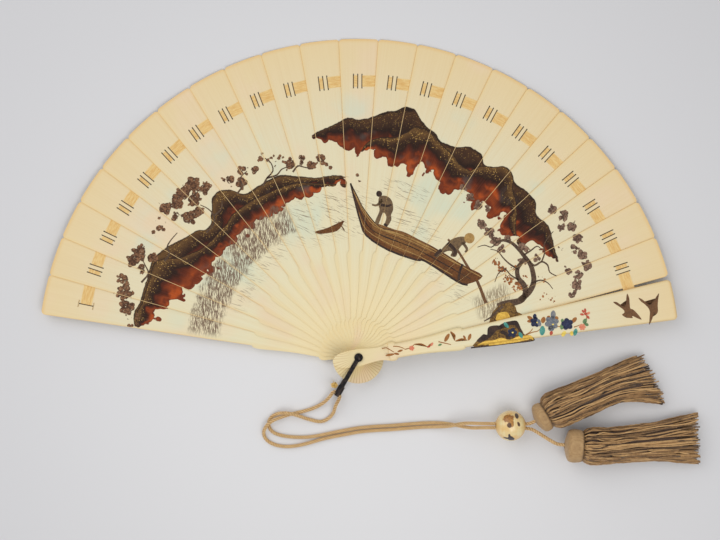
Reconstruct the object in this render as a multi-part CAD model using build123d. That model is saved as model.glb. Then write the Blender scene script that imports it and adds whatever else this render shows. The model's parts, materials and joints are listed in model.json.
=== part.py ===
from build123d import *
import os
from math import cos, pi, radians, sin, tan

# Folding brise fan: two thick guards and 21 thin leaves turn on one rivet, a silk ribbon threaded
# through slits ties the blades together, and a bail on the rivet carries a doubled silk cord with
# a bead and two tassels. It is modelled open, lying on a table, in millimetres.
#
# Stick frame: the rivet axis is Z, a blade points along +X, and its left edge is at +Y.
# Fan frame: the rivet axis is Z through the origin, and the rear guard's outer face is at z = 0.
# Part frame: z = 0 is the table, and the origin is below the middle of the fan's own box.

# Blades, in the stick frame
REACH = 240.0
TAIL = 19.4
TAIL_HALF = 6.3
TAIL_ROUND = 11.4
NECK = [(3.0, 6.1), (15.0, 5.0), (21.0, 6.0)]
SHOULDER = (25.5, 7.2)
SHOULDER_NOTCH = (29.0, 5.5)
ARM = [(48.0, 6.0), (63.0, 7.3)]
HIP = (75.0, 8.5)
HIP_NOTCH = (80.0, 6.9)
TIP_HALF = 15.3
TIP_CORNER = 3.0
SIDES = (-20.0, 20.0)
FLAT_RUN = (1, 0)
RISING_RUN = (1, 0.05)
NOTCH_RUN = (0.4, -1)
PIN_RADIUS = 1.5
RUNNING_GAP = 0.05

# The stack along the rivet
LEAF_COUNT = 21
LEAF_PITCH = 0.75
LEAF_HEAD_THICKNESS = 0.70
LEAF_THICKNESS = 0.50
LEAF_STEP_DOWN = 0.10
LEAF_HEAD_END = 30.0
GUARD_THICKNESS = 3.6
GUARD_HEAD_THICKNESS = 1.9
GUARD_HEAD_END = 23.0
GUARD_ROUNDING = 2.2
FIRST_LEAF_BASE = GUARD_THICKNESS + 0.15
FRONT_GUARD_BASE = FIRST_LEAF_BASE + LEAF_COUNT * LEAF_PITCH

# How far the fan is open
REAR_GUARD_ANGLE = 168.55
LEAF_STEP = 7.15
OPEN_ANGLE = 158.1

# Ribbon and the slits that it is threaded through
RIBBON_RADIUS = 208.0
RIBBON_WIDTH = 8.7
RIBBON_THICKNESS = 0.08
RIBBON_GAP = 0.02
RIBBON_END = 13.4
LAST_RIBBON_END = 16.8
SLIT_PLACES = (4.0, 0.8, -2.4)
SLIT_LENGTH = 11.2
SLIT_WIDTH = 0.6
GROOVE_DEPTH = 1.0
GROOVE_PLACE = 1.8
GROOVE_TICK = (0.9, 5.2)

# Rivet, washers and bail
RIVET_HEAD_RADIUS = 2.4
RIVET_REAR_HEAD = (0.05, 0.55)
RIVET_DOME = 0.75
WASHER_RADIUS = 3.0
WASHER_THICKNESS = 0.26
BAIL_THICKNESS = 0.8
BAIL_WIDTH = 3.3
BAIL_EYE_RADIUS = 3.2
BAIL_REACH = 33.0
BAIL_ANGLE = 240.0
BAIL_CLEARANCE = 0.02
COLLAR_WIDTH = 4.9
COLLAR_WALL = 0.5
COLLAR_SPAN = (24.5, 31.0)

# The open fan lies on the rivet and on the tips of the blades opposite, so it leans a little
PIVOT = (-0.58, -105.5, 0.08)
LEAN = (-2.65, 1.43, 0.0)
FAN_PLACE = Location(PIVOT, LEAN)

# Cord, bead and tassels
CORD_DIAMETER = 2.8
CORD_RADIUS = CORD_DIAMETER / 2
BEAD_RADIUS = 11.45
BEAD_CENTRE = (114.2, -50.4, 11.5)
BEAD_BORE = 3.1
HEAD_BORE = 1.5
ON_TABLE = 1.45

# Routes of the cord's two strands: x and y from the rivet axis, z above the table
STRAND_A = [
    (-15.1, -32.85, 5.6), (-12.17, -27.79, 5.6), (-17.97, -24.44, 5.6), (-21.5, -30.0, 5.1),
    (-27.4, -35.2, 2.4), (-34.4, -38.6, ON_TABLE), (-42.0, -40.8, ON_TABLE),
    (-50.0, -42.4, ON_TABLE), (-57.6, -44.8, 2.6), (-64.0, -47.0, 5.8), (-69.3, -51.2, 5.8),
    (-71.6, -57.2, 2.4), (-68.6, -62.9, ON_TABLE), (-62.0, -66.2, ON_TABLE),
    (-53.6, -67.3, ON_TABLE), (-45.0, -66.4, ON_TABLE), (-36.4, -64.3, ON_TABLE),
    (-27.6, -61.6, ON_TABLE), (-18.6, -59.6, ON_TABLE), (-9.2, -57.9, ON_TABLE),
    (1.2, -55.9, ON_TABLE), (13.2, -54.9, ON_TABLE), (25.6, -54.3, ON_TABLE),
    (38.0, -53.2, ON_TABLE), (50.0, -52.3, ON_TABLE), (60.6, -52.1, 2.4), (69.4, -51.2, 7.0),
    (76.6, -48.9, 11.0), (83.6, -48.4, 12.0), (91.6, -48.9, 11.5), (125.2, -48.9, 11.5),
    (129.4, -49.1, 11.5), (140.8, -42.55, 11.5),
]
STRAND_B = [
    (-15.1, -32.85, 5.6), (-17.1, -36.31, 5.6), (-18.0, -41.0, 3.2), (-21.4, -45.6, ON_TABLE),
    (-27.2, -48.7, ON_TABLE), (-34.6, -47.3, ON_TABLE), (-41.6, -45.0, 3.0),
    (-47.6, -42.6, 6.2), (-53.6, -41.2, 6.2), (-60.4, -41.8, 2.6), (-66.2, -45.2, ON_TABLE),
    (-67.9, -51.0, ON_TABLE), (-64.6, -56.4, ON_TABLE), (-57.4, -59.0, ON_TABLE),
    (-48.6, -60.0, ON_TABLE), (-39.6, -60.2, ON_TABLE), (-30.0, -59.0, ON_TABLE),
    (-19.4, -56.7, ON_TABLE), (-9.6, -54.8, ON_TABLE), (1.0, -52.9, ON_TABLE),
    (13.0, -51.9, ON_TABLE), (25.4, -51.3, ON_TABLE), (37.8, -50.2, ON_TABLE),
    (49.6, -49.3, ON_TABLE), (60.0, -49.1, ON_TABLE), (70.4, -50.0, 2.2), (79.6, -51.8, 7.0),
    (86.6, -52.2, 11.2), (93.4, -51.9, 11.5), (127.8, -51.9, 11.5), (133.6, -55.0, 10.9),
    (141.2, -59.9, 10.6), (146.8, -63.2, 11.6), (151.2, -64.8, 12.7), (167.0, -65.66, 12.7),
]

# Tassels: middle of the head's front rim, axis direction, then the skirt's sections
TASSEL_A_RIM = (136.0, -45.3, 11.5)
TASSEL_A_TURN = 30.0
TASSEL_B_RIM = (158.2, -65.2, 12.7)
TASSEL_B_TURN = -3.0
HEAD_RADIUS_A = 11.0
HEAD_RADIUS_B = 12.2
HEAD_LENGTH_A = 6.0
HEAD_LENGTH_B = 9.6
HEAD_DOME = 3.6
HEAD_BACK_ROUNDING = 1.2
SKIRT_GAP = 0.3
# Each section: x and y of its middle, direction, half width, half height
SKIRT_A = [
    (141.5, -42.1, 30.0, 10.2, 9.8),
    (147.0, -38.9, 29.0, 14.8, 12.3),
    (168.2, -30.4, 24.0, 14.6, 10.6),
    (195.0, -19.4, 20.0, 15.2, 8.4),
    (226.6, -13.0, 9.0, 23.6, 5.6),
]
SKIRT_B = [
    (168.3, -65.7, -3.0, 11.2, 11.0),
    (174.0, -65.7, 0.0, 14.4, 12.4),
    (192.0, -65.2, 3.0, 14.4, 10.6),
    (220.0, -62.8, 5.0, 15.2, 8.2),
    (256.0, -60.6, 3.0, 20.6, 5.6),
]
KNOT_CENTRE = (-17.6, -20.6, 5.2)
KNOT_RADII = (2.3, 1.9, 2.1)


def outline_edges():
    """Left half of a blade's outline, from the end of its tail to the middle of its tip."""
    tail_start = (TAIL_ROUND - TAIL, TAIL_HALF)
    tip_x = (REACH**2 - TIP_HALF**2) ** 0.5
    tail = EllipticalCenterArc((TAIL_ROUND - TAIL, 0), TAIL_ROUND, TAIL_HALF,
                               start_angle=90, arc_size=90)
    neck = Spline(tail_start, *NECK, SHOULDER, tangents=[FLAT_RUN, RISING_RUN])
    shoulder = Spline(SHOULDER, SHOULDER_NOTCH, tangents=[RISING_RUN, NOTCH_RUN])
    arm = Spline(SHOULDER_NOTCH, *ARM, HIP, tangents=[FLAT_RUN, RISING_RUN])
    hip = Spline(HIP, HIP_NOTCH, tangents=[RISING_RUN, NOTCH_RUN])
    side = Line(HIP_NOTCH, (tip_x, TIP_HALF))
    tip = ThreePointArc((tip_x, TIP_HALF), (REACH, 0), (tip_x, -TIP_HALF))
    return [tail, neck, shoulder, arm, hip, side], tip


def blade_face():
    """Whole outline of a blade as a face with rounded tip corners."""
    left, tip = outline_edges()
    right = [edge.mirror(Plane.XZ) for edge in left]
    face = make_face([*left, *right, tip])
    corners = [v for v in face.vertices() if v.X > REACH - 5 and abs(v.Y) > TIP_HALF / 2]
    return fillet(corners, TIP_CORNER)


def block(x_span, y_span, z_span):
    """Box between two limits along each axis."""
    size = [high - low for low, high in (x_span, y_span, z_span)]
    middle = [(low + high) / 2 for low, high in (x_span, y_span, z_span)]
    return Pos(*middle) * Box(*size)


def disc(radius, z_span):
    """Round plate on the rivet axis."""
    return Pos(0, 0, (z_span[0] + z_span[1]) / 2) * Cylinder(radius, z_span[1] - z_span[0])


def slit_cuts(places):
    """Slits that the ribbon goes through, as tools to cut with."""
    x_span = (RIBBON_RADIUS - SLIT_LENGTH / 2, RIBBON_RADIUS + SLIT_LENGTH / 2)
    return [block(x_span, (y - SLIT_WIDTH / 2, y + SLIT_WIDTH / 2), (-1, 2)) for y in places]


def leaf():
    """One inner blade: thin, with a thicker head round the rivet."""
    top = LEAF_HEAD_THICKNESS
    shape = extrude(blade_face(), amount=top)
    x_span = (LEAF_HEAD_END, REACH + 5)
    shape -= block(x_span, SIDES, (-1, LEAF_STEP_DOWN))
    shape -= block(x_span, SIDES, (LEAF_STEP_DOWN + LEAF_THICKNESS, top + 1))
    shape -= disc(PIN_RADIUS + RUNNING_GAP, (-1, 2))
    for cut in slit_cuts(SLIT_PLACES):
        shape -= cut
    return shape


def guard():
    """Outer blade: thick, its outer face up, rounded, and stepped down round the rivet."""
    shape = extrude(blade_face(), amount=GUARD_THICKNESS)
    top_edges = shape.faces().sort_by(Axis.Z)[-1].edges()
    shape = fillet(top_edges, GUARD_ROUNDING)
    shape -= block((-TAIL - 5, GUARD_HEAD_END), SIDES, (GUARD_HEAD_THICKNESS, 10))
    shape -= disc(PIN_RADIUS + RUNNING_GAP, (-1, 10))
    return shape


def rear_guard():
    """Guard at the bottom of the stack, inner face up, grooved for the end of the ribbon."""
    shape = Pos(0, 0, GUARD_THICKNESS) * Rot(180, 0, 0) * guard()
    z_span = (GUARD_THICKNESS - GROOVE_DEPTH, GUARD_THICKNESS + 1)
    x_span = (RIBBON_RADIUS - SLIT_LENGTH / 2, RIBBON_RADIUS + SLIT_LENGTH / 2)
    shape -= block(x_span, (GROOVE_PLACE - SLIT_WIDTH / 2, GROOVE_PLACE + SLIT_WIDTH / 2), z_span)
    tick_width, tick_length = GROOVE_TICK
    y_span = (GROOVE_PLACE - tick_length / 2, GROOVE_PLACE + tick_length / 2)
    for x in x_span:
        shape -= block((x - tick_width / 2, x + tick_width / 2), y_span, z_span)
    return shape


def ribbon_run(y_span, z_low):
    """Flat stretch of ribbon."""
    x_span = (RIBBON_RADIUS - RIBBON_WIDTH / 2, RIBBON_RADIUS + RIBBON_WIDTH / 2)
    return block(x_span, y_span, (z_low, z_low + RIBBON_THICKNESS))


def ribbon_riser(y, z_span):
    """Stretch of ribbon that goes up or down through a slit."""
    x_span = (RIBBON_RADIUS - RIBBON_WIDTH / 2, RIBBON_RADIUS + RIBBON_WIDTH / 2)
    return block(x_span, (y - RIBBON_THICKNESS / 2, y + RIBBON_THICKNESS / 2), z_span)


def leaf_ribbon(right_end):
    """Ribbon of one leaf: under its left half, up, down and up through the slits, to the right."""
    under = LEAF_STEP_DOWN - RIBBON_GAP - RIBBON_THICKNESS
    over = LEAF_STEP_DOWN + LEAF_THICKNESS + RIBBON_GAP
    lap = RIBBON_THICKNESS / 2
    first, second, third = SLIT_PLACES
    shape = ribbon_run((first - lap, RIBBON_END), under)
    shape += ribbon_run((second - lap, first + lap), over)
    shape += ribbon_run((third - lap, second + lap), under)
    shape += ribbon_run((-right_end, third + lap), over)
    for y in SLIT_PLACES:
        shape += ribbon_riser(y, (under, over + RIBBON_THICKNESS))
    return shape


def rear_ribbon():
    """Ribbon of the rear guard: its end is tucked into the groove."""
    over = GUARD_THICKNESS + RIBBON_GAP
    shape = ribbon_run((-RIBBON_END, GROOVE_PLACE + RIBBON_THICKNESS / 2), over)
    top = over + RIBBON_THICKNESS
    return shape + ribbon_riser(GROOVE_PLACE, (GUARD_THICKNESS - 0.8 * GROOVE_DEPTH, top))


def rivet():
    """Pin through the whole stack with a flat head below and a domed head on top."""
    low, high = RIVET_REAR_HEAD
    front = arm_levels()[1][1] + BAIL_CLEARANCE
    shape = disc(PIN_RADIUS, (low, front + 0.1)) + disc(RIVET_HEAD_RADIUS, (low, high))
    dome_radius = (RIVET_HEAD_RADIUS**2 + RIVET_DOME**2) / (2 * RIVET_DOME)
    dome = Pos(0, 0, front + RIVET_DOME - dome_radius) * Sphere(dome_radius)
    return shape + (dome & disc(RIVET_HEAD_RADIUS, (front, front + 2)))


def washer_levels():
    """Height spans of the rear and front washers."""
    rear_top = GUARD_THICKNESS - GUARD_HEAD_THICKNESS - BAIL_CLEARANCE
    front_base = FRONT_GUARD_BASE + GUARD_HEAD_THICKNESS + BAIL_CLEARANCE
    return (rear_top - WASHER_THICKNESS, rear_top), (front_base, front_base + WASHER_THICKNESS)


def arm_levels():
    """Height spans of the bail's rear and front arms."""
    rear, front = washer_levels()
    rear_top = rear[0] - BAIL_CLEARANCE
    front_base = front[1] + BAIL_CLEARANCE
    return (rear_top - BAIL_THICKNESS, rear_top), (front_base, front_base + BAIL_THICKNESS)


def washer(z_span):
    """Thin washer between a guard's head and the bail."""
    return disc(WASHER_RADIUS, z_span) - disc(PIN_RADIUS + RUNNING_GAP, (-5, 40))


def bail():
    """Flat strap bent to a U round the stack, an eye at each end."""
    rear, front = arm_levels()
    half = BAIL_WIDTH / 2
    shape = block((BAIL_REACH - BAIL_THICKNESS, BAIL_REACH), (-half, half), (rear[0], front[1]))
    for span in (rear, front):
        shape += block((0, BAIL_REACH), (-half, half), span)
        shape += disc(BAIL_EYE_RADIUS, span)
    shape -= disc(PIN_RADIUS + RUNNING_GAP, (-5, 40))
    corners = [e for e in shape.edges().filter_by(Axis.Y) if e.center().X > BAIL_REACH - 0.1]
    return Rot(0, 0, BAIL_ANGLE) * fillet(corners, BAIL_THICKNESS * 0.7)


def bail_collar():
    """Sleeve pinched round the bail's front arm."""
    low, high = arm_levels()[1]
    half = COLLAR_WIDTH / 2
    shape = block(COLLAR_SPAN, (-half, half), (low - COLLAR_WALL, high + COLLAR_WALL))
    gap = BAIL_CLEARANCE
    hole_half = BAIL_WIDTH / 2 + gap
    shape -= block((0, 2 * BAIL_REACH), (-hole_half, hole_half), (low - gap, high + gap))
    return Rot(0, 0, BAIL_ANGLE) * shape


def on_table(point):
    """Point given from the rivet axis and the table, in the part frame."""
    return Vector(point[0] + PIVOT[0], point[1] + PIVOT[1], point[2])


def route_radii(points):
    """Largest arc that each corner of a route has room for."""
    radii = []
    for before, corner, after in zip(points, points[1:], points[2:]):
        run = min((corner - before).length, (after - corner).length)
        half_turn = radians((corner - before).get_angle(after - corner)) / 2
        radii.append(0.45 * run / tan(half_turn))
    return radii


def strand(name, route):
    """Round tube of straight runs and tangent arcs along a route."""
    points = [on_table(p) for p in route]
    radii = route_radii(points)
    path = FilletPolyline(*points, radius=radii)
    start = Plane(origin=path @ 0, z_dir=path % 0)
    shape = sweep(start * Circle(CORD_RADIUS), path=path)
    share = shape.volume / (pi * CORD_RADIUS**2 * path.length)
    print(f"{name}: length {path.length:.1f}, volume share {share:.4f}, radii",
          [round(r, 1) for r in radii])
    return shape


def bead():
    """Round bead with a bore that passes both strands."""
    bore = Rot(0, 90, 0) * Cylinder(BEAD_BORE, 4 * BEAD_RADIUS)
    return Pos(*on_table(BEAD_CENTRE)) * (Sphere(BEAD_RADIUS) - bore)


def tassel_head(rim, turn, radius, length):
    """Wrapped barrel with a domed front, bored for its strand."""
    dome_radius = (radius**2 + HEAD_DOME**2) / (2 * HEAD_DOME)
    dome = Pos(0, 0, dome_radius - HEAD_DOME) * Sphere(dome_radius)
    barrel = Pos(0, 0, length / 2) * Cylinder(radius, length)
    shape = barrel + (dome & Pos(0, 0, -HEAD_DOME) * Cylinder(radius, 2 * HEAD_DOME))
    back_rim = shape.faces().sort_by(Axis.Z)[-1].edges()
    shape = fillet(back_rim, HEAD_BACK_ROUNDING)
    shape -= Cylinder(HEAD_BORE, 60)
    return Pos(*on_table(rim)) * Rot(0, 0, turn) * Rot(0, 90, 0) * shape


def tassel_skirt(sections):
    """Bundle of threads as one closed form, round at the head and flattened at the end."""
    rings = []
    for x, y, turn, half_width, half_height in sections:
        middle = on_table((x, y, half_height + SKIRT_GAP))
        across = Vector(-sin(radians(turn)), cos(radians(turn)), 0)
        along = Vector(cos(radians(turn)), sin(radians(turn)), 0)
        plane = Plane(origin=middle, x_dir=across, z_dir=along)
        rings.append(plane * Ellipse(half_width, half_height))
    return loft(rings)


def knot():
    """Small knot beside the bail, where the cord's ends were tied off."""
    return Pos(*on_table(KNOT_CENTRE)) * scale(Sphere(1), by=KNOT_RADII)


def fan_nodes():
    """Every node of the fan itself, in the fan frame."""
    nodes = {"rear_guard": Rot(0, 0, REAR_GUARD_ANGLE) * rear_guard()}
    nodes["ribbon_00"] = Rot(0, 0, REAR_GUARD_ANGLE) * rear_ribbon()
    one_leaf = leaf()
    ribbon, last_ribbon = leaf_ribbon(RIBBON_END), leaf_ribbon(LAST_RIBBON_END)
    for number in range(1, LEAF_COUNT + 1):
        base = FIRST_LEAF_BASE + (number - 1) * LEAF_PITCH
        place = Location((0, 0, base), (0, 0, REAR_GUARD_ANGLE - number * LEAF_STEP))
        nodes[f"leaf_{number:02d}"] = place * one_leaf
        nodes[f"ribbon_{number:02d}"] = place * (last_ribbon if number == LEAF_COUNT else ribbon)
    front_place = Location((0, 0, FRONT_GUARD_BASE), (0, 0, REAR_GUARD_ANGLE - OPEN_ANGLE))
    nodes["front_guard"] = front_place * guard()
    rear_washer, front_washer = washer_levels()
    nodes["rear_washer"] = washer(rear_washer)
    nodes["front_washer"] = washer(front_washer)
    nodes["rivet"] = rivet()
    nodes["bail"] = bail()
    nodes["bail_collar"] = bail_collar()
    return nodes


def cord_nodes():
    """The cord and what is on it, in the part frame."""
    return {
        "cord_a": strand("cord_a", STRAND_A),
        "cord_b": strand("cord_b", STRAND_B),
        "cord_knot": knot(),
        "bead": bead(),
        "tassel_a_head": tassel_head(TASSEL_A_RIM, TASSEL_A_TURN, HEAD_RADIUS_A, HEAD_LENGTH_A),
        "tassel_b_head": tassel_head(TASSEL_B_RIM, TASSEL_B_TURN, HEAD_RADIUS_B, HEAD_LENGTH_B),
        "tassel_a_skirt": tassel_skirt(SKIRT_A),
        "tassel_b_skirt": tassel_skirt(SKIRT_B),
    }


def main():
    """Builds every node and writes it to parts/."""
    os.makedirs("parts", exist_ok=True)
    nodes = {name: FAN_PLACE * shape for name, shape in fan_nodes().items()}
    fan_box = Compound(list(nodes.values())).bounding_box()
    print("fan box", fan_box.min, fan_box.max)
    nodes.update(cord_nodes())
    for name, shape in nodes.items():
        export_step(shape, f"parts/{name}.step")


if __name__ == "__main__":
    main()
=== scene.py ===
"""Visual model of an open brise hand fan with its silk cord, bead and two tassels.

Two thick guards and 21 thin blades turn on one rivet. The blades carry one lacquer
landscape, painted right across them, and the front guard carries cranes, flowers and a
golden rock. Everything is in metres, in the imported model's own frame.
"""

import json
import logging
import math
import random
from collections.abc import Callable, Iterable, Sequence
from dataclasses import dataclass, field
from enum import Enum

import bmesh
import bpy
from mathutils import Euler, Matrix, Vector


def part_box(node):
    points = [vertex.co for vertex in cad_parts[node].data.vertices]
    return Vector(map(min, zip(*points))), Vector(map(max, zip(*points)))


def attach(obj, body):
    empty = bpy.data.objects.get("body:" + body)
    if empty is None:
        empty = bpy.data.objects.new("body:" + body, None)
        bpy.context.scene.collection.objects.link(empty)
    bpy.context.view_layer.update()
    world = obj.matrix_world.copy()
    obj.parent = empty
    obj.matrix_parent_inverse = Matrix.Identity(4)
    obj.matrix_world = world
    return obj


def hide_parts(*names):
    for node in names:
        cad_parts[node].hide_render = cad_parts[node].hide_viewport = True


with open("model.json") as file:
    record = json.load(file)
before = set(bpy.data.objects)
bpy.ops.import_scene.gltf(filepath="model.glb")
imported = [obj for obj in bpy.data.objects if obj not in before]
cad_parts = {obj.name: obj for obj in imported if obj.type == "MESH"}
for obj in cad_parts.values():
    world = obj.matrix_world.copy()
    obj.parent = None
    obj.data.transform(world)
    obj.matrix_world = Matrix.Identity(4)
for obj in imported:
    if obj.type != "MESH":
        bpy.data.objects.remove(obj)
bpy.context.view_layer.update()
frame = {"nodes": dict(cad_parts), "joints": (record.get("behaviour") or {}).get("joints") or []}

log = logging.getLogger("hand_fan")

Point2 = tuple[float, float]
Point3 = tuple[float, float, float]
Socket = bpy.types.NodeSocket
Value = Socket | float
MM = 0.001

# Millimetres in the fan's plane: the hinge's point over the rear face, the ribbon's dips
# across a blade, the ends of the slits along it, and the middle of the ribbon.
HINGE_HEIGHT = 11.6
SLITS = (4.0, 0.8, -2.4)
REAR_GROOVE = (1.8,)
SLIT_ENDS = (202.5, 213.5)
RIBBON_MIDDLE = 208.0

PLY_SIDES = 8


def paint(red: int, green: int, blue: int) -> tuple[float, float, float, float]:
    """Returns a display colour, 0 to 255 a channel, as linear RGBA."""
    linear = []
    for channel in (red, green, blue):
        c = channel / 255
        linear.append(c / 12.92 if c <= 0.04045 else ((c + 0.055) / 1.055) ** 2.4)
    return (linear[0], linear[1], linear[2], 1.0)


# ---------------------------------------------------------------------------------------
# The fan's own plane and its blades


@dataclass(frozen=True)
class FanPlane:
    """The open fan's plane: x and y in millimetres from the rivet, z up from the rear face."""

    origin: Vector
    turn: Matrix

    @classmethod
    def from_joint(cls, joint: dict) -> "FanPlane":
        """Finds the plane from the hinge that opens the fan.

        Args:
            joint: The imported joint, with its axis and a point on it.

        Returns:
            The plane, whose z axis is the hinge.
        """
        axis = Vector(joint["axis"])
        tip_y = math.asin(axis.x)
        tip_x = math.atan2(-axis.y, axis.z)
        turn = Matrix.Rotation(tip_x, 3, "X") @ Matrix.Rotation(tip_y, 3, "Y")
        return cls(Vector(joint["pos_m"]) - HINGE_HEIGHT * MM * axis, turn)

    def matrix(self) -> Matrix:
        """Returns the placing of millimetre coordinates of the plane in the part's frame."""
        return Matrix.Translation(self.origin) @ self.turn.to_4x4() @ Matrix.Scale(MM, 4)

    def mapping(self, angle: float = 0.0) -> tuple[Vector, Euler]:
        """Location and rotation of the plane, turned about the hinge, for a Mapping node.

        Args:
            angle: Extra turn about the hinge in degrees.

        Returns:
            The location and the Euler rotation.
        """
        turned = self.turn @ Matrix.Rotation(math.radians(angle), 3, "Z")
        return self.origin, turned.to_euler("XYZ")


@dataclass(frozen=True)
class BladePlan:
    """Where each blade lies in the open fan."""

    rear_angle: float = 168.55
    step: float = 7.15
    front_angle: float = 10.45
    leaf_count: int = 21
    rear_top: float = 3.6
    first_top: float = 4.35
    pitch: float = 0.75
    front_top: float = 23.1
    side_start: Point2 = (80.0, 6.9)
    side_end: Point2 = (239.5, 15.3)
    guard_rounding: float = 2.2
    head_half: float = 5.5
    neck_start: float = 29.0
    neck_length: float = 46.0
    neck_gain: float = 2.9

    def angle(self, number: int) -> float:
        """Direction of a blade in degrees; 0 is the rear guard and leaf_count + 1 the front one."""
        return self.front_angle if number > self.leaf_count else self.rear_angle - number * self.step

    def top(self, number: int) -> float:
        """Height of a blade's upper face in the fan's plane."""
        if number == 0:
            return self.rear_top
        if number > self.leaf_count:
            return self.front_top
        return self.first_top + (number - 1) * self.pitch

    def body(self, number: int) -> str:
        """Name of a blade's CAD body."""
        if number == 0:
            return "rear_guard"
        return "front_guard" if number > self.leaf_count else f"leaf_{number:02d}"

    def left_edge(self, number: int) -> tuple[Vector, Vector]:
        """Line of a blade's left edge.

        Args:
            number: Number of the blade from the rear guard.

        Returns:
            A point on the edge, and the unit normal that points out of the blade.
        """
        turn = Matrix.Rotation(math.radians(self.angle(number)), 2)
        start, end = turn @ Vector(self.side_start), turn @ Vector(self.side_end)
        along = (end - start).normalized()
        return start, Vector((-along.y, along.x))

    def half_width(self, x: float) -> float:
        """Half width of a blade at a distance along it."""
        (x0, y0), (x1, y1) = self.side_start, self.side_end
        if x < x0:
            return self.head_half + self.neck_gain * max(0.0, (x - self.neck_start) / self.neck_length)
        return y0 + (x - x0) * (y1 - y0) / (x1 - x0)


# ---------------------------------------------------------------------------------------
# Node trees


class Graph:
    """Short words for building one node tree."""

    def __init__(self, tree: bpy.types.NodeTree) -> None:
        """Starts on an existing tree."""
        self.tree = tree

    def node(self, kind: str, **settings: object) -> bpy.types.Node:
        """Adds a node and sets its plain properties."""
        made = self.tree.nodes.new(kind)
        for name, value in settings.items():
            setattr(made, name, value)
        return made

    def feed(self, socket: Socket, value: object) -> None:
        """Links a socket, or sets its constant."""
        if isinstance(value, bpy.types.NodeSocket):
            self.tree.links.new(value, socket)
        else:
            socket.default_value = value

    def feed_all(self, node: bpy.types.Node, inputs: dict[str, object]) -> None:
        """Links or sets several inputs of a node by name."""
        for name, value in inputs.items():
            self.feed(node.inputs[name], value)

    def math(self, operation: str, a: Value, b: Value = 0.0, c: Value = 0.0) -> Socket:
        """Adds a Math node and returns its result."""
        made = self.node("ShaderNodeMath", operation=operation)
        for socket, value in zip(made.inputs, (a, b, c)):
            self.feed(socket, value)
        return made.outputs[0]

    def product(self, *factors: Value) -> Socket:
        """Multiplies any number of values."""
        result = factors[0]
        for factor in factors[1:]:
            result = self.math("MULTIPLY", result, factor)
        return result

    def largest(self, *values: Value) -> Socket:
        """Returns the largest of any number of values."""
        result = values[0]
        for value in values[1:]:
            result = self.math("MAXIMUM", result, value)
        return result

    def wobble(self, value: Value, vector: Socket, scale: float, amount: float, detail: float = 3.0) -> Socket:
        """Adds centred noise to a value."""
        noise = self.math("SUBTRACT", self.noise(vector, scale, detail), 0.5)
        return self.math("MULTIPLY_ADD", noise, amount, value)

    def smooth(self, value: Value, low: Value, high: Value, start: float = 0.0, end: float = 1.0) -> Socket:
        """Smooth step from start to end while the value goes from low to high."""
        made = self.node("ShaderNodeMapRange", interpolation_type="SMOOTHSTEP")
        self.feed_all(made, {"Value": value, "From Min": low, "From Max": high, "To Min": start, "To Max": end})
        return made.outputs["Result"]

    def between(self, value: Value, low: float, high: float, soft: float) -> Socket:
        """One between two limits, fading over a soft width at each."""
        up = self.smooth(value, low - soft, low + soft)
        down = self.smooth(value, high - soft, high + soft, 1.0, 0.0)
        return self.math("MULTIPLY", up, down)

    def mix(self, factor: Value, a: object, b: object, blend: str = "MIX") -> Socket:
        """Mixes two colours."""
        made = self.node("ShaderNodeMix", data_type="RGBA", blend_type=blend)
        self.feed(made.inputs[0], factor)
        self.feed(made.inputs[6], a)
        self.feed(made.inputs[7], b)
        return made.outputs[2]

    def colors(self, value: Value, stops: Sequence[tuple[float, tuple]]) -> Socket:
        """Colour ramp through the given stops."""
        made = self.node("ShaderNodeValToRGB")
        ramp = made.color_ramp
        while len(ramp.elements) < len(stops):
            ramp.elements.new(0.5)
        for element, (place, color) in zip(ramp.elements, stops):
            element.position = place
            element.color = color
        self.feed(made.inputs[0], value)
        return made.outputs[0]

    def noise(self, vector: Socket, scale: float, detail: float = 2.0, rough: float = 0.5) -> Socket:
        """Noise from 0 to 1."""
        made = self.node("ShaderNodeTexNoise")
        self.feed_all(made, {"Vector": vector, "Scale": scale, "Detail": detail, "Roughness": rough})
        return made.outputs[0]

    def cells(self, vector: Socket, scale: float, randomness: float = 1.0) -> tuple[Socket, Socket]:
        """Distance and random colour of the nearest cell centre."""
        made = self.node("ShaderNodeTexVoronoi")
        self.feed_all(made, {"Vector": vector, "Scale": scale, "Randomness": randomness})
        return made.outputs["Distance"], made.outputs["Color"]

    def place(self, vector: Socket, location: Sequence[float] = (0, 0, 0), rotation: Sequence[float] = (0, 0, 0),
              scale: Sequence[float] = (1, 1, 1), kind: str = "POINT") -> Socket:
        """Mapping node."""
        made = self.node("ShaderNodeMapping", vector_type=kind)
        self.feed_all(made, {"Vector": vector, "Location": location, "Rotation": rotation, "Scale": scale})
        return made.outputs[0]

    def in_plane(self, place: Socket, plane: FanPlane, angle: float = 0.0) -> Socket:
        """Millimetres in the fan's plane, turned about the hinge by an angle in degrees."""
        location, rotation = plane.mapping(angle)
        return self.place(place, location, rotation, (MM, MM, MM), "TEXTURE")

    def object_place(self) -> Socket:
        """Object coordinates."""
        return self.node("ShaderNodeTexCoord").outputs["Object"]

    def split(self, vector: Socket) -> tuple[Socket, Socket, Socket]:
        """X, Y and Z of a vector."""
        made = self.node("ShaderNodeSeparateXYZ")
        self.feed(made.inputs[0], vector)
        return made.outputs[0], made.outputs[1], made.outputs[2]

    def distance(self, vector: Socket, point: Sequence[float]) -> Socket:
        """Distance from a point."""
        made = self.node("ShaderNodeVectorMath", operation="DISTANCE")
        self.feed(made.inputs[0], vector)
        made.inputs[1].default_value = point
        return made.outputs["Value"]

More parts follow.
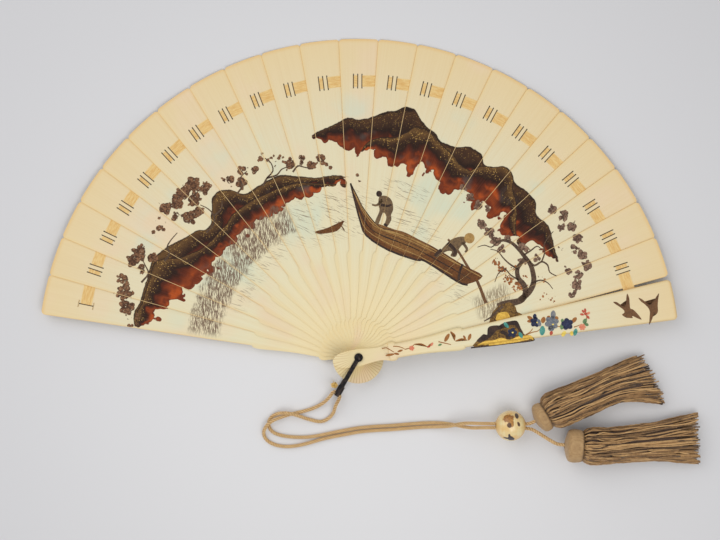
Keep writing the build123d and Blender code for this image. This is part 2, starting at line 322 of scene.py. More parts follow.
    def profile(self, value: Socket, points: Sequence[Point2], along: Point2, across: Point2) -> Socket:
        """Height of a drawn line over a value.

        Args:
            value: Where to read the line.
            points: The line's corners as place and height.
            along: Places at the two ends of the line, which may fall.
            across: Lowest and highest height that the line may take.

        Returns:
            The height of the line at the value.
        """
        share = self.node("ShaderNodeMapRange")
        self.feed(share.inputs["Value"], value)
        share.inputs["From Min"].default_value, share.inputs["From Max"].default_value = along
        made = self.node("ShaderNodeFloatCurve")
        self.feed(made.inputs["Value"], share.outputs["Result"])
        curve = made.mapping.curves[0]
        spots = sorted(((place - along[0]) / (along[1] - along[0]), (height - across[0]) / (across[1] - across[0]))
                       for place, height in points)
        curve.points[0].location, curve.points[1].location = spots[0], spots[-1]
        for spot in spots[1:-1]:
            curve.points.new(*spot)
        for point in curve.points:
            point.handle_type = "AUTO_CLAMPED"
        made.mapping.update()
        back = self.node("ShaderNodeMapRange")
        self.feed(back.inputs["Value"], made.outputs[0])
        back.inputs["To Min"].default_value, back.inputs["To Max"].default_value = across
        return back.outputs["Result"]

    def bump(self, height: Value, distance: float, strength: float = 1.0) -> Socket:
        """Normal from a height."""
        made = self.node("ShaderNodeBump")
        self.feed_all(made, {"Strength": strength, "Distance": distance, "Height": height})
        return made.outputs[0]


def new_material(name: str) -> tuple[bpy.types.Material, Graph, bpy.types.Node]:
    """Starts a material.

    Args:
        name: Name of the finish.

    Returns:
        The material, its graph, and its main shader.
    """
    material = bpy.data.materials.new(name)
    material.use_nodes = True
    return material, Graph(material.node_tree), material.node_tree.nodes["Principled BSDF"]


# ---------------------------------------------------------------------------------------
# The landscape painted across the blades


@dataclass(frozen=True)
class Hill:
    """One painted hill in polar form: degrees round the rivet, and millimetres from it."""

    ridge: tuple[Point2, ...]
    foot: tuple[Point2, ...]
    stops: tuple[tuple[float, tuple], ...]
    gold: float


@dataclass(frozen=True)
class Tree:
    """One clump of painted foliage: direction, distance, radius and how thick it is."""

    angle: float
    reach: float
    radius: float
    density: float


DARK_SLOPE = (
    (0.0, paint(40, 26, 18)), (0.07, paint(76, 50, 30)), (0.24, paint(62, 40, 26)), (0.4, paint(38, 22, 16)),
    (0.6, paint(78, 34, 18)), (0.8, paint(126, 54, 22)), (0.93, paint(100, 42, 18)), (1.0, paint(124, 58, 32)),
)
GOLD_SLOPE = (
    (0.0, paint(62, 42, 26)), (0.08, paint(104, 74, 40)), (0.26, paint(60, 38, 24)), (0.4, paint(42, 24, 16)),
    (0.56, paint(86, 36, 18)), (0.78, paint(136, 60, 24)), (0.93, paint(104, 42, 18)), (1.0, paint(126, 60, 32)),
)
LEFT_FOOT = ((172.6, 168), (170.5, 158), (169, 152), (167, 158), (165.4, 147), (163.6, 150), (161.6, 138), (159.6, 141),
             (157, 134), (152, 129), (144, 127), (138, 126), (122, 125), (109, 126), (102, 128), (96, 129.6), (92, 132))
RIGHT_FOOT = ((102, 170), (100, 167), (98.6, 160), (97.2, 164), (95.2, 158.5), (93.4, 156), (91.7, 158), (89.6, 152),
              (88, 156), (84.8, 151), (82.3, 149.5), (81, 143), (78.6, 140), (76.2, 147), (74.6, 141), (73.1, 146),
              (71.5, 152), (70.4, 147), (67.6, 146), (64.1, 140), (61.4, 138), (59.6, 147), (56.3, 144.6),
              (52.6, 141), (50.8, 150), (48.6, 146), (46.9, 141), (44.6, 151), (42.2, 141), (39.4, 139), (37.1, 148),
              (35, 146), (33.4, 156), (31, 156), (28.9, 160), (25.4, 165))
LEFT_HILLS = (
    Hill(((172.6, 169), (169, 171.5), (165.4, 169), (158.8, 169.5), (155, 171), (151.6, 168), (147, 161),
          (144.7, 157.5), (142, 154.5), (138.8, 149), (136, 154), (134.5, 157), (131, 163.5), (128, 160),
          (123.6, 149), (115, 149.5), (108, 143), (102.4, 138.5), (97, 138), (93.1, 135.5), (90, 133),
          (88.4, 132)),
         LEFT_FOOT, GOLD_SLOPE, 0.8),
    Hill(((172.6, 166), (169, 170), (165.4, 167.5), (158.8, 168), (155.6, 169), (153.4, 165), (151.4, 156),
          (148.6, 149), (145.6, 144), (142.9, 142), (139, 141), (135.2, 141), (131, 143), (125, 143),
          (118, 141), (111, 140), (104, 135), (98, 131.5), (92, 130)),
         LEFT_FOOT, GOLD_SLOPE, 1.0),
)
RIGHT_HILLS = (
    Hill(((102, 170.5), (99, 173.5), (97, 175), (94.2, 178.4), (92.3, 180.4), (90, 179), (86.8, 181), (83.6, 186),
          (81.3, 187.8), (78.8, 192), (77.4, 191.5), (75.6, 186), (73.4, 181), (71, 178), (68.4, 173.5), (65.3, 174),
          (61.6, 179), (58.8, 178.5), (56.6, 173), (54, 175), (50, 178), (47.6, 176), (44.9, 177.4), (41.4, 177),
          (38.4, 171), (35, 173), (31, 170), (28.9, 168), (25.4, 166)),
         RIGHT_FOOT, DARK_SLOPE, 0.5),
    Hill(((90, 150), (87.4, 162), (84.4, 166), (80.6, 168), (78, 173), (75, 179.5), (72.6, 178.5), (71, 176.5),
          (68.2, 171.5), (64.8, 168), (62, 164), (59.4, 163.5), (57.6, 170), (54.6, 175.5), (51.6, 181), (49.6, 179),
          (47.6, 172), (45, 167), (42, 160), (39, 152), (36, 149), (32, 150)),
         RIGHT_FOOT, GOLD_SLOPE, 1.0),
)
BROWN_TREES = (
    Tree(167.6, 177.5, 7.5, 0.92), Tree(164.3, 182, 8.5, 0.8), Tree(170.6, 171, 5.0, 0.5), Tree(161.5, 186, 6.0, 0.75),
    Tree(156.6, 184, 6.5, 1.0), Tree(154.4, 181.5, 7.5, 1.0), Tree(157.6, 176, 5.0, 0.9), Tree(154, 172, 5.0, 0.95),
    Tree(147.6, 178, 7.0, 0.62), Tree(144.2, 180.5, 5.0, 0.62), Tree(142.4, 183, 6.0, 1.0), Tree(139.6, 180, 7.0, 1.0),
    Tree(142, 172, 6.0, 1.0), Tree(140.4, 165, 7.0, 1.0), Tree(136.6, 180, 7.0, 1.0), Tree(133.6, 180.5, 7.0, 1.0),
    Tree(136, 171, 7.0, 1.0), Tree(132.2, 171, 6.0, 0.9), Tree(137.6, 163, 5.0, 1.0), Tree(126.2, 165, 6.0, 0.85),
    Tree(123.8, 158, 6.0, 0.9), Tree(121.6, 165.5, 6.0, 0.66), Tree(118.6, 161, 5.0, 0.7), Tree(115.2, 167, 7.5, 0.56),
    Tree(112.2, 160, 6.5, 0.5), Tree(109.2, 154, 6.0, 0.9), Tree(106.2, 153.5, 5.0, 0.9), Tree(103.8, 149, 4.5, 0.85),
    Tree(100.6, 151, 5.5, 0.75), Tree(98.4, 146.5, 5.0, 0.6), Tree(89.8, 137, 4.5, 0.42), Tree(86.6, 136, 4.0, 0.4),
    Tree(169.8, 168.5, 4.5, 0.5), Tree(172.2, 172, 4.5, 0.5),
)
PINE_PADS = (
    Tree(37.3, 183, 4.5, 1.0), Tree(34.6, 187, 5.0, 1.0), Tree(31.6, 187.5, 5.0, 1.0), Tree(32.8, 180.5, 4.0, 0.9),
    Tree(28.6, 187, 5.0, 1.0), Tree(26.8, 180.5, 5.0, 0.9), Tree(24.6, 184, 5.0, 1.0), Tree(21.8, 184, 5.0, 1.0),
    Tree(20.6, 176, 5.0, 0.8), Tree(18.4, 172, 5.5, 0.9), Tree(16.6, 167, 4.5, 0.8), Tree(22.6, 170, 4.5, 0.8),
    Tree(58.2, 150, 4.0, 0.85), Tree(55, 146.5, 4.5, 0.85), Tree(51.6, 145, 5.0, 0.95), Tree(49.2, 147.5, 3.6, 0.9),
    Tree(47.4, 136, 5.0, 0.95), Tree(43.6, 136, 5.5, 0.95), Tree(40.2, 134.5, 5.0, 0.95), Tree(37.2, 134, 4.5, 0.9),
    Tree(38.4, 143, 4.0, 0.8), Tree(33.6, 148, 5.5, 0.85), Tree(30.4, 143, 5.0, 0.75), Tree(29, 152, 5.0, 0.7),
    Tree(25.4, 147, 4.0, 0.6), Tree(28.4, 172, 3.0, 0.6),
)
MAPLES = (
    Tree(34.6, 125, 4.6, 0.7), Tree(31.4, 125.5, 4.8, 0.75), Tree(27.4, 126.5, 5.2, 0.75), Tree(24.2, 131, 6.0, 0.72),
    Tree(21.6, 136, 5.0, 0.66), Tree(18.4, 145, 5.0, 0.5), Tree(16.6, 151, 4.0, 0.5), Tree(29.8, 135, 4.4, 0.6),
    Tree(26.2, 139, 4.0, 0.5), Tree(22.6, 151, 4.0, 0.5),
)


@dataclass(frozen=True)
class Zone:
    """A stretch of water lines: angles, distances, softness of each, and strength."""

    angles: Point2
    reaches: Point2
    soft: Point2
    strength: float = 1.0


WATER = (
    Zone((121, 158), (92, 106), (4.0, 4.0), 0.8), Zone((86, 116), (92, 126), (4.0, 7.0)),
    Zone((67, 82), (124, 136), (2.0, 3.0)), Zone((56, 77), (102, 117), (3.0, 3.5)),
    Zone((28, 62), (82, 96), (4.0, 5.0), 0.8),
)


class Landscape:
    """What one blade shows of the painting, as a node group in the fan's own plane."""

    BROWN = (88, 64, 48)

    def __init__(self, name: str, low: float, high: float) -> None:
        """Builds the group.

        Args:
            name: Name of the blade.
            low: Lowest direction that the blade shows, in degrees.
            high: Highest direction that it shows.
        """
        self.low, self.high = low, high
        self.group = bpy.data.node_groups.new(f"lake_{name}", "ShaderNodeTree")
        face = self.group.interface
        face.new_socket("Place", in_out="INPUT", socket_type="NodeSocketVector")
        face.new_socket("Color", in_out="OUTPUT", socket_type="NodeSocketColor")
        face.new_socket("Cover", in_out="OUTPUT", socket_type="NodeSocketFloat")
        self.graph = Graph(self.group)
        g = self.graph
        self.place = g.place(g.node("NodeGroupInput").outputs[0], scale=(1, 1, 0))
        x, y, _ = g.split(self.place)
        self.angle = g.math("DEGREES", g.math("ARCTAN2", y, x))
        self.reach = g.math("SQRT", g.math("MULTIPLY_ADD", x, x, g.math("MULTIPLY", y, y)))
        self.color: Socket | tuple = paint(*self.BROWN)
        self.cover: Value = 0.0
        self.paint_water()
        for hill in (*LEFT_HILLS, *RIGHT_HILLS):
            if self.shows(hill.ridge[-1][0], hill.ridge[0][0]):
                self.paint_hill(hill)
        if self.shows(114, 173) or self.shows(15, 29):
            self.paint_reeds()
        self.paint_foliage(BROWN_TREES, 0.27, 0.02, (paint(76, 50, 34), paint(148, 106, 74)))
        self.paint_foliage(PINE_PADS, 0.34, 0.06, (paint(82, 60, 48), paint(152, 120, 98)))
        self.paint_foliage(MAPLES, 0.5, 0.06, (paint(118, 70, 36), paint(184, 118, 66)))
        out = g.node("NodeGroupOutput")
        g.feed(out.inputs["Color"], self.color)
        g.feed(out.inputs["Cover"], self.cover)

    def shows(self, low: float, high: float) -> bool:
        """Returns whether the blade shows anything between two directions."""
        return low < self.high and high > self.low

    def lay(self, mask: Socket, color: object) -> None:
        """Paints a colour over what is there, where the mask is one."""
        self.color = self.graph.mix(mask, self.color, color)
        self.cover = self.graph.math("MAXIMUM", self.cover, mask)

    def paint_hill(self, hill: Hill) -> None:
        """Paints one hill with its speckled ridge, glowing slope and ragged foot."""
        g = self.graph
        ends = (hill.ridge[0][0], hill.ridge[-1][0])
        ridge = g.profile(self.angle, hill.ridge, ends, (100, 200))
        ridge = g.wobble(ridge, self.place, 0.35, 1.6)
        foot_ends = (hill.foot[0][0], hill.foot[-1][0])
        foot = g.profile(self.angle, hill.foot, foot_ends, (100, 200))
        lobes, _ = g.cells(self.place, 0.15)
        foot = g.math("MULTIPLY_ADD", g.math("SUBTRACT", lobes, 0.42), 11.0, foot)
        foot = g.wobble(foot, self.place, 0.3, 4.0, 1.0)
        inside = g.product(
            g.smooth(self.reach, g.math("SUBTRACT", ridge, 0.35), g.math("ADD", ridge, 0.35), 1.0, 0.0),
            g.smooth(self.reach, g.math("SUBTRACT", foot, 0.3), g.math("ADD", foot, 0.3)),
            g.between(self.angle, min(ends) + 0.15, max(ends) - 0.1, 0.12),
        )
        depth = g.math("SUBTRACT", ridge, self.reach)
        share = g.math("DIVIDE", depth, g.math("MAXIMUM", g.math("SUBTRACT", ridge, foot), 6.0))
        share = g.wobble(share, self.place, 0.07, 0.34, 4.0)
        color = g.colors(share, hill.stops)
        glow = g.product(g.smooth(g.noise(self.place, 0.09, 3.0), 0.5, 0.68), g.between(share, 0.52, 0.96, 0.12))
        color = g.mix(g.product(glow, 0.8), color, paint(184, 82, 28))
        banks = g.noise(g.place(self.place, (31, 7, 0)), 0.05, 2.0)
        haze = g.product(g.smooth(banks, 0.56, 0.7), g.between(share, 0.3, 0.8, 0.1))
        color = g.mix(g.product(haze, 0.75), color, paint(84, 72, 66))
        spots, tones = g.cells(self.place, 0.95)
        chance = g.split(tones)[0]
        speckle = g.product(
            g.smooth(spots, 0.24, 0.4, 1.0, 0.0), g.smooth(chance, 0.3, 0.5),
            g.smooth(g.noise(self.place, 0.16, 2.0), 0.36, 0.56), g.between(share, 0.02, 0.34, 0.08), hill.gold,
        )
        color = g.mix(speckle, color, paint(188, 150, 82))
        pits = g.product(g.smooth(g.noise(self.place, 1.3, 2.0), 0.54, 0.66), g.between(share, 0.04, 0.4, 0.06), 0.7)
        color = g.mix(pits, color, paint(48, 34, 22))
        rim = g.smooth(depth, 0.35, 1.0, 1.0, 0.0)
        color = g.mix(rim, color, paint(44, 30, 22))
        foot_rim = g.product(g.smooth(g.math("SUBTRACT", self.reach, foot), 0.2, 1.1, 1.0, 0.0), 0.6)
        color = g.mix(foot_rim, color, paint(96, 32, 16))
        self.lay(inside, color)

    def strokes(self, turn: float, length: float, width: float, low: float, high: float, shift: float) -> Socket:
        """Thin brush strokes in one direction.

        Args:
            turn: Direction of the strokes in degrees from the x axis.
            length: Noise scale along the stroke.
            width: Noise scale across it.
            low: Noise level where a stroke begins.
            high: Noise level where it is full.
            shift: Offset that makes another pattern.

        Returns:
            One on the strokes, nothing between them.
        """
        g = self.graph
        turned = g.place(self.place, (shift, shift, 0), (0, 0, math.radians(-turn)))
        stretched = g.place(turned, scale=(length, width, 1))
        return g.smooth(g.noise(stretched, 1.0, 2.0, 0.6), low, high)

    def paint_water(self) -> None:
        """Paints fine lines of water round the boat and below the reeds."""
        g = self.graph
        zones = [zone for zone in WATER if self.shows(zone.angles[0] - 4, zone.angles[1] + 4)]
        if not zones:
            return
        lines = g.math("MAXIMUM", self.strokes(-16, 0.07, 1.1, 0.585, 0.66, 3.0),
                       self.strokes(-30, 0.08, 1.2, 0.6, 0.68, 40.0))
        masks = [g.product(g.between(self.angle, *zone.angles, zone.soft[0]),
                           g.between(self.reach, *zone.reaches, zone.soft[1]), zone.strength) for zone in zones]
        self.lay(g.product(lines, g.largest(*masks), 0.72), paint(120, 92, 78))

    def paint_reeds(self) -> None:
        """Paints the reed bed along the left hill's foot."""
        g = self.graph
        blades = g.largest(self.strokes(94, 0.14, 1.25, 0.49, 0.56, 0.0), self.strokes(80, 0.15, 1.2, 0.51, 0.58, 17.0),
                           self.strokes(108, 0.15, 1.2, 0.54, 0.61, 29.0))
        upper = g.wobble(self.reach, self.place, 0.18, 10.0)
        bed = g.product(g.between(self.angle, 116, 171, 2.0), g.between(upper, 106, 129, 2.5))
        thick = g.product(bed, g.smooth(g.noise(g.place(self.place, (9, 4, 0)), 0.07, 2.0), 0.22, 0.45), blades)
        self.lay(g.product(thick, 0.92), g.mix(g.noise(self.place, 0.3), paint(86, 62, 48), paint(134, 108, 88)))
        right = g.product(g.between(self.angle, 17, 27, 1.5), g.between(self.reach, 96, 122, 4.0), blades, 0.7)
        self.lay(right, paint(126, 98, 70))

    def paint_foliage(self, trees: Iterable[Tree], scale: float, hold: float, tones: tuple[tuple, tuple]) -> None:
        """Paints rounded clumps of foliage.

        Args:
            trees: The clumps.
            scale: Rounded lobes per millimetre.
            hold: How much of a clump stays bare.
            tones: Darkest and lightest colour of a leaf.
        """
        g = self.graph
        near: Value = 0.0
        spread = [(tree, math.degrees(tree.radius * 1.3 / tree.reach)) for tree in trees]
        shown = [tree for tree, half in spread if self.shows(tree.angle - half, tree.angle + half)]
        if not shown:
            return
        for tree in shown:
            turn = math.radians(tree.angle)
            centre = (tree.reach * math.cos(turn), tree.reach * math.sin(turn), 0)
            fall = g.smooth(g.distance(self.place, centre), tree.radius * 0.3, tree.radius * 1.3, tree.density, 0.0)
            near = g.math("MAXIMUM", near, fall)
        lobes, _ = g.cells(self.place, scale)
        spots, random_tone = g.cells(g.place(self.place, (5, 3, 0)), 1.05)
        tone, chance, _ = g.split(random_tone)
        edge = g.wobble(g.math("MULTIPLY_ADD", lobes, -0.95, near), self.place, 0.9, 0.4)
        mass = g.smooth(edge, hold, hold + 0.09)
        gaps = g.product(g.smooth(chance, 0.86, 0.94), g.smooth(spots, 0.2, 0.5, 1.0, 0.0), 0.5)
        leaves = g.product(mass, g.math("SUBTRACT", 1.0, gaps))
        rim = g.math("MULTIPLY", g.smooth(lobes, 0.3, 0.75), 0.5)
        color = g.mix(g.math("MAXIMUM", g.math("SUBTRACT", tone, rim), 0.0), tones[0], tones[1])
        self.lay(leaves, color)


# ---------------------------------------------------------------------------------------
# Finishes


class BladeFinish:
    """Polished cream blades with grain along each, warmer edges, painted light and shade along the edges and ends,
    painted shade in the slits and where the blades stack below the rivet, and the painting on them.
    """

    TAPER = 0.05266
    TAIL_RAYS = 50.35
    SHOWS_BELOW, SHOWS_ABOVE = 5.5, 6.0

    def __init__(self, plane: FanPlane, plan: BladePlan) -> None:
        """Keeps where the blades are."""
        self.plane, self.plan = plane, plan

    def make(self, number: int) -> bpy.types.Material:
        """Makes the finish of one blade.

        Args:
            number: Number of the blade from the rear guard.

        Returns:
            The material.
        """
        painted = number <= self.plan.leaf_count
        material, g, shader = new_material(f"ivory_{self.plan.body(number)}")
        place = g.object_place()
        middle = self.plan.angle(number)
        fan = g.in_plane(place, self.plane)
        own = g.in_plane(place, self.plane, middle)
        along, across, _ = g.split(own)
        reach = g.math("SQRT", g.math("MULTIPLY_ADD", along, along, g.math("MULTIPLY", across, across)))
        base = g.colors(g.math("DIVIDE", reach, 250.0), (
            (0.0, paint(228, 212, 164)), (0.16, paint(236, 220, 176)), (0.34, paint(229, 221, 186)),
            (0.72, paint(226, 216, 182)), (0.84, paint(229, 211, 170)), (1.0, paint(229, 206, 158)),
        ))
        cloud = g.noise(g.place(fan, (number * 7.0, 0, 0)), 0.018, 3.0)
        base = g.mix(g.product(g.smooth(cloud, 0.5, 0.72), 0.7), base, paint(232, 208, 176))
        sky = g.product(g.smooth(g.noise(fan, 0.026, 2.0), 0.52, 0.7), g.between(reach, 95, 196, 14.0),
                        0.62 if painted else 0.15)
        base = g.mix(sky, base, paint(206, 218, 196))
        grain = g.noise(g.place(own, (0, number * 31.0, 0), scale=(0.012, 0.9, 1.0)), 1.0, 5.0, 0.62)
        base = g.mix(g.smooth(grain, 0.35, 0.75, 0.0, 0.2), base, paint(216, 188, 136))
        fine = g.noise(g.place(own, (0, number * 13.0, 0), scale=(0.05, 4.0, 1.0)), 1.0, 2.0)
        side_x, side_y = self.plan.side_start
        half = g.math("MULTIPLY_ADD", g.math("MAXIMUM", g.math("SUBTRACT", along, side_x), 0.0), self.TAPER, side_y)
        margin = g.math("SUBTRACT", half, g.math("ABSOLUTE", across))
        warm = g.product(g.smooth(margin, 0.0, 3.2, 1.0, 0.0), 0.32)
        base = g.mix(warm, base, paint(232, 204, 140))
        # Painted light and shade: a deeper orange line along each long edge stands in for light through the thin edge
        # and the shade beside it.
        rim = g.product(g.smooth(margin, -0.1, 0.55, 1.0, 0.0), g.smooth(along, 78, 84), 0.85)
        base = g.mix(rim, base, paint(226, 178, 104))
        # Painted shade: a darker orange band along the blade's rounded end.
        tip_edge_shade = g.smooth(reach, 236.5, 240, 0.0, 0.5)
        base = g.mix(tip_edge_shade, base, paint(226, 182, 110))
        # Painted shade: fine dark radial lines on the top blade's end below the rivet stand in for the edges of the
        # stacked blades beneath.
        rays = g.math("SINE", g.math("MULTIPLY", g.math("ARCTAN2", across, along), self.TAIL_RAYS))
        tail_edge_shade = g.product(g.smooth(along, -6.0, -1.0, 1.0, 0.0), g.between(reach, 5.0, 21.0, 2.0),
                         g.smooth(rays, 0.3, 1.0), 0.5)
        base = g.mix(tail_edge_shade, base, paint(190, 152, 96))
        rough = g.smooth(grain, 0.3, 0.7, 0.34, 0.44)
        height = g.math("MULTIPLY", fine, 0.12)
        if painted:
            # Painted shade: a dark line along each slit, and along the rear guard's groove.
            slit: Value = 0.0
            for y in SLITS if number else REAR_GROOVE:
                line = g.smooth(g.math("ABSOLUTE", g.math("SUBTRACT", across, y)), 0.3, 0.5, 1.0, 0.0)
                slit = g.math("MAXIMUM", slit, line)
            slit = g.product(slit, g.between(along, *SLIT_ENDS, 0.2))
            landscape = Landscape(self.plan.body(number), middle - self.SHOWS_BELOW, middle + self.SHOWS_ABOVE)
            scene = g.node("ShaderNodeGroup", node_tree=landscape.group)
            g.feed(scene.inputs[0], fan)
            worn = g.product(scene.outputs["Cover"], g.smooth(fine, 0.12, 0.3, 0.86, 1.0), g.smooth(margin, 0.1, 0.5))
            base = g.mix(worn, base, scene.outputs["Color"])
            # Painted shade in the slits and the groove.
            base = g.mix(g.product(slit, 0.92), base, paint(62, 42, 28))
            rough = g.math("MULTIPLY_ADD", worn, -0.1, rough)
            height = g.math("MULTIPLY_ADD", worn, 0.7, height)
        g.feed_all(shader, {
            "Base Color": base, "Roughness": rough, "Normal": g.bump(height, 0.00008, 0.6),
            "Coat Weight": 0.03, "Coat Roughness": 0.25, "Specular IOR Level": 0.2,
        })
        return material


@dataclass(frozen=True)
class RibbonFinish:
    """Golden silk ribbon with fine ribs across it, and painted shade where it goes into the slits."""

    light: tuple = paint(236, 204, 136)
    deep: tuple = paint(222, 178, 104)

    def make(self, plane: FanPlane, angle: float, name: str, slits: Sequence[float]) -> bpy.types.Material:
        """Makes the finish for the ribbon of one blade.

        Args:
            plane: The fan's plane.
            angle: Direction of the blade in degrees.
            name: Name of the material.
            slits: Where the ribbon dips into the blade, across it in millimetres.

        Returns:
            The material.
        """
        material, g, shader = new_material(name)
        own = g.in_plane(g.object_place(), plane, angle)
        x, y, _ = g.split(own)
        ribs = g.math("SINE", g.math("MULTIPLY", y, 14.0))
        warp = g.math("SINE", g.math("MULTIPLY", x, 22.0))
        tone = g.noise(g.place(own, scale=(1.2, 0.2, 1.0)), 1.0, 3.0)
        color = g.mix(g.smooth(tone, 0.3, 0.7), self.light, self.deep)
        edge = g.smooth(g.math("ABSOLUTE", g.math("SUBTRACT", x, RIBBON_MIDDLE)), 3.6, 4.3)
        color = g.mix(g.product(edge, 0.5), color, paint(238, 214, 156))
        color = g.mix(g.smooth(ribs, -1.0, 1.0, 0.0, 0.12), color, paint(190, 140, 74))
        # Painted shade where the ribbon goes into each slit.
        for slit in slits:
            slit_dip_shade = g.smooth(g.math("ABSOLUTE", g.math("SUBTRACT", y, slit)), 0.26, 0.44, 0.9, 0.0)
            color = g.mix(slit_dip_shade, color, paint(66, 44, 28))
        weave = g.math("ADD", ribs, g.math("MULTIPLY", warp, 0.4))
        g.feed_all(shader, {
            "Base Color": color, "Normal": g.bump(weave, 0.00004, 0.5),
            "Roughness": 0.5, "Sheen Weight": 0.35, "Sheen Roughness": 0.4,
        })
        return material


class Silk(Enum):
    """Colours of the silk: dark, middle and light."""

    CORD = (paint(76, 46, 20), paint(178, 134, 78), paint(226, 192, 136))
    TASSEL = (paint(54, 34, 18), paint(142, 104, 60), paint(200, 160, 106))
    HEAD = (paint(92, 64, 34), paint(162, 128, 84), paint(196, 162, 114))
    # Painted shade: the dark colours of the mass of threads inside a skirt.
    CORE = (paint(46, 30, 20), paint(70, 48, 32), paint(86, 60, 42))
    FRAY = (paint(196, 150, 70), paint(226, 186, 100), paint(240, 212, 140))


def silk(kind: Silk) -> bpy.types.Material:
    """Makes a silk whose threads take their tone from the piece's own attribute.

    Args:
        kind: Which colours.

    Returns:
        The material.
    """
    material, g, shader = new_material(f"silk_{kind.name.lower()}")
    dark, middle, light = kind.value
    tone = g.node("ShaderNodeAttribute", attribute_name="tone").outputs["Fac"]
    place = g.object_place()
    tone = g.wobble(tone, place, 420.0, 0.5, 3.0)
    color = g.colors(tone, ((0.1, dark), (0.5, middle), (0.92, light)))
    fuzz = g.noise(place, 2600.0, 2.0, 0.7)
    color = g.mix(g.smooth(fuzz, 0.4, 0.7, 0.0, 0.25), color, light)
    g.feed_all(shader, {
        "Base Color": color, "Normal": g.bump(fuzz, 0.00012, 0.5),
        "Roughness": 0.62, "Sheen Weight": 0.25, "Sheen Roughness": 0.45,
    })
    return material


def dark_metal() -> bpy.types.Material:
    """Returns near-black patinated metal, browner and brighter where it is rubbed."""
    material, g, shader = new_material("dark_metal")
    place = g.object_place()
    rub = g.smooth(g.noise(place, 350.0, 4.0, 0.6), 0.45, 0.75)
    g.feed_all(shader, {
        "Base Color": g.mix(rub, paint(24, 22, 24), paint(74, 62, 54)), "Metallic": 0.75,
        "Roughness": g.smooth(g.noise(place, 900.0, 2.0), 0.3, 0.7, 0.28, 0.5),
        "Normal": g.bump(g.noise(place, 1500.0, 3.0), 0.00008, 0.4),
    })
    return material


@dataclass(frozen=True)
class Spot:
    """A patch inlaid in the bead: where it is from the bead's centre, its size and its colour."""

    place: Point3
    size: Point3
    turn: float
    color: tuple
    ragged: float


BEAD_SPOTS = (
    Spot((-2.4, 6.4, 9.2), (4.6, 3.0, 4.2), 12.0, paint(176, 118, 48), 0.5),
    Spot((-0.6, 3.0, 10.8), (2.2, 3.4, 3.6), 0.0, paint(188, 132, 58), 0.5),
    Spot((-1.9, 1.1, 11.2), (1.8, 2.0, 3.6), 20.0, paint(104, 70, 38), 0.35),
    Spot((4.0, 8.0, 7.3), (1.5, 2.4, 4.0), 8.0, paint(84, 68, 54), 0.15),
    Spot((5.2, 2.0, 10.1), (1.1, 1.9, 3.0), 24.0, paint(96, 62, 36), 0.4),
    Spot((-0.2, -9.0, 7.0), (2.9, 2.1, 4.4), -28.0, paint(52, 44, 50), 0.45),
    Spot((-3.2, -8.8, 6.8), (3.0, 0.7, 3.4), -14.0, paint(52, 44, 50), 0.3),
    Spot((-1.6, -6.9, 9.2), (0.9, 1.9, 3.0), 12.0, paint(52, 44, 50), 0.3),
)


class BeadFinish:
    """Cream-yellow polished bead with inlaid brown and black patches."""

    def make(self, centre: Vector) -> bpy.types.Material:
        """Makes the finish.

        Args:
            centre: Middle of the bead in metres.

        Returns:
            The material.
        """
        material, g, shader = new_material("polished_bead")
        own = g.place(g.object_place(), centre, (0, 0, 0), (MM, MM, MM), "TEXTURE")
        cloud = g.noise(own, 0.16, 3.0)
        color = g.mix(g.smooth(cloud, 0.35, 0.68), paint(232, 214, 160), paint(226, 188, 122))
        bands = g.noise(g.place(own, scale=(1.0, 0.12, 0.12)), 0.8, 4.0)
        color = g.mix(g.smooth(bands, 0.4, 0.7, 0.0, 0.3), color, paint(222, 172, 96))
        ends = g.smooth(g.math("ABSOLUTE", g.split(own)[0]), 7.5, 11.2, 0.0, 0.65)
        color = g.mix(ends, color, paint(214, 166, 88))
        relief: Value = 0.0
        for spot in BEAD_SPOTS:
            shifted = g.place(own, spot.place, (0, 0, math.radians(spot.turn)), spot.size, "TEXTURE")
            far = g.wobble(g.distance(shifted, (0, 0, 0)), own, 0.55, spot.ragged * 1.6, 3.0)
            mask = g.smooth(far, 0.88, 1.02, 1.0, 0.0)
            tint = g.mix(g.smooth(g.noise(own, 0.9, 3.0), 0.4, 0.65, 0.0, 0.5), spot.color, paint(52, 36, 26))
            color = g.mix(mask, color, tint)
            relief = g.math("MAXIMUM", relief, mask)
        g.feed_all(shader, {
            "Base Color": color, "Roughness": g.smooth(relief, 0.0, 1.0, 0.22, 0.34),
            "Normal": g.bump(g.math("MULTIPLY_ADD", cloud, 0.1, relief), 0.00012, 0.6),
            "Coat Weight": 0.4, "Coat Roughness": 0.15,
        })
        return material


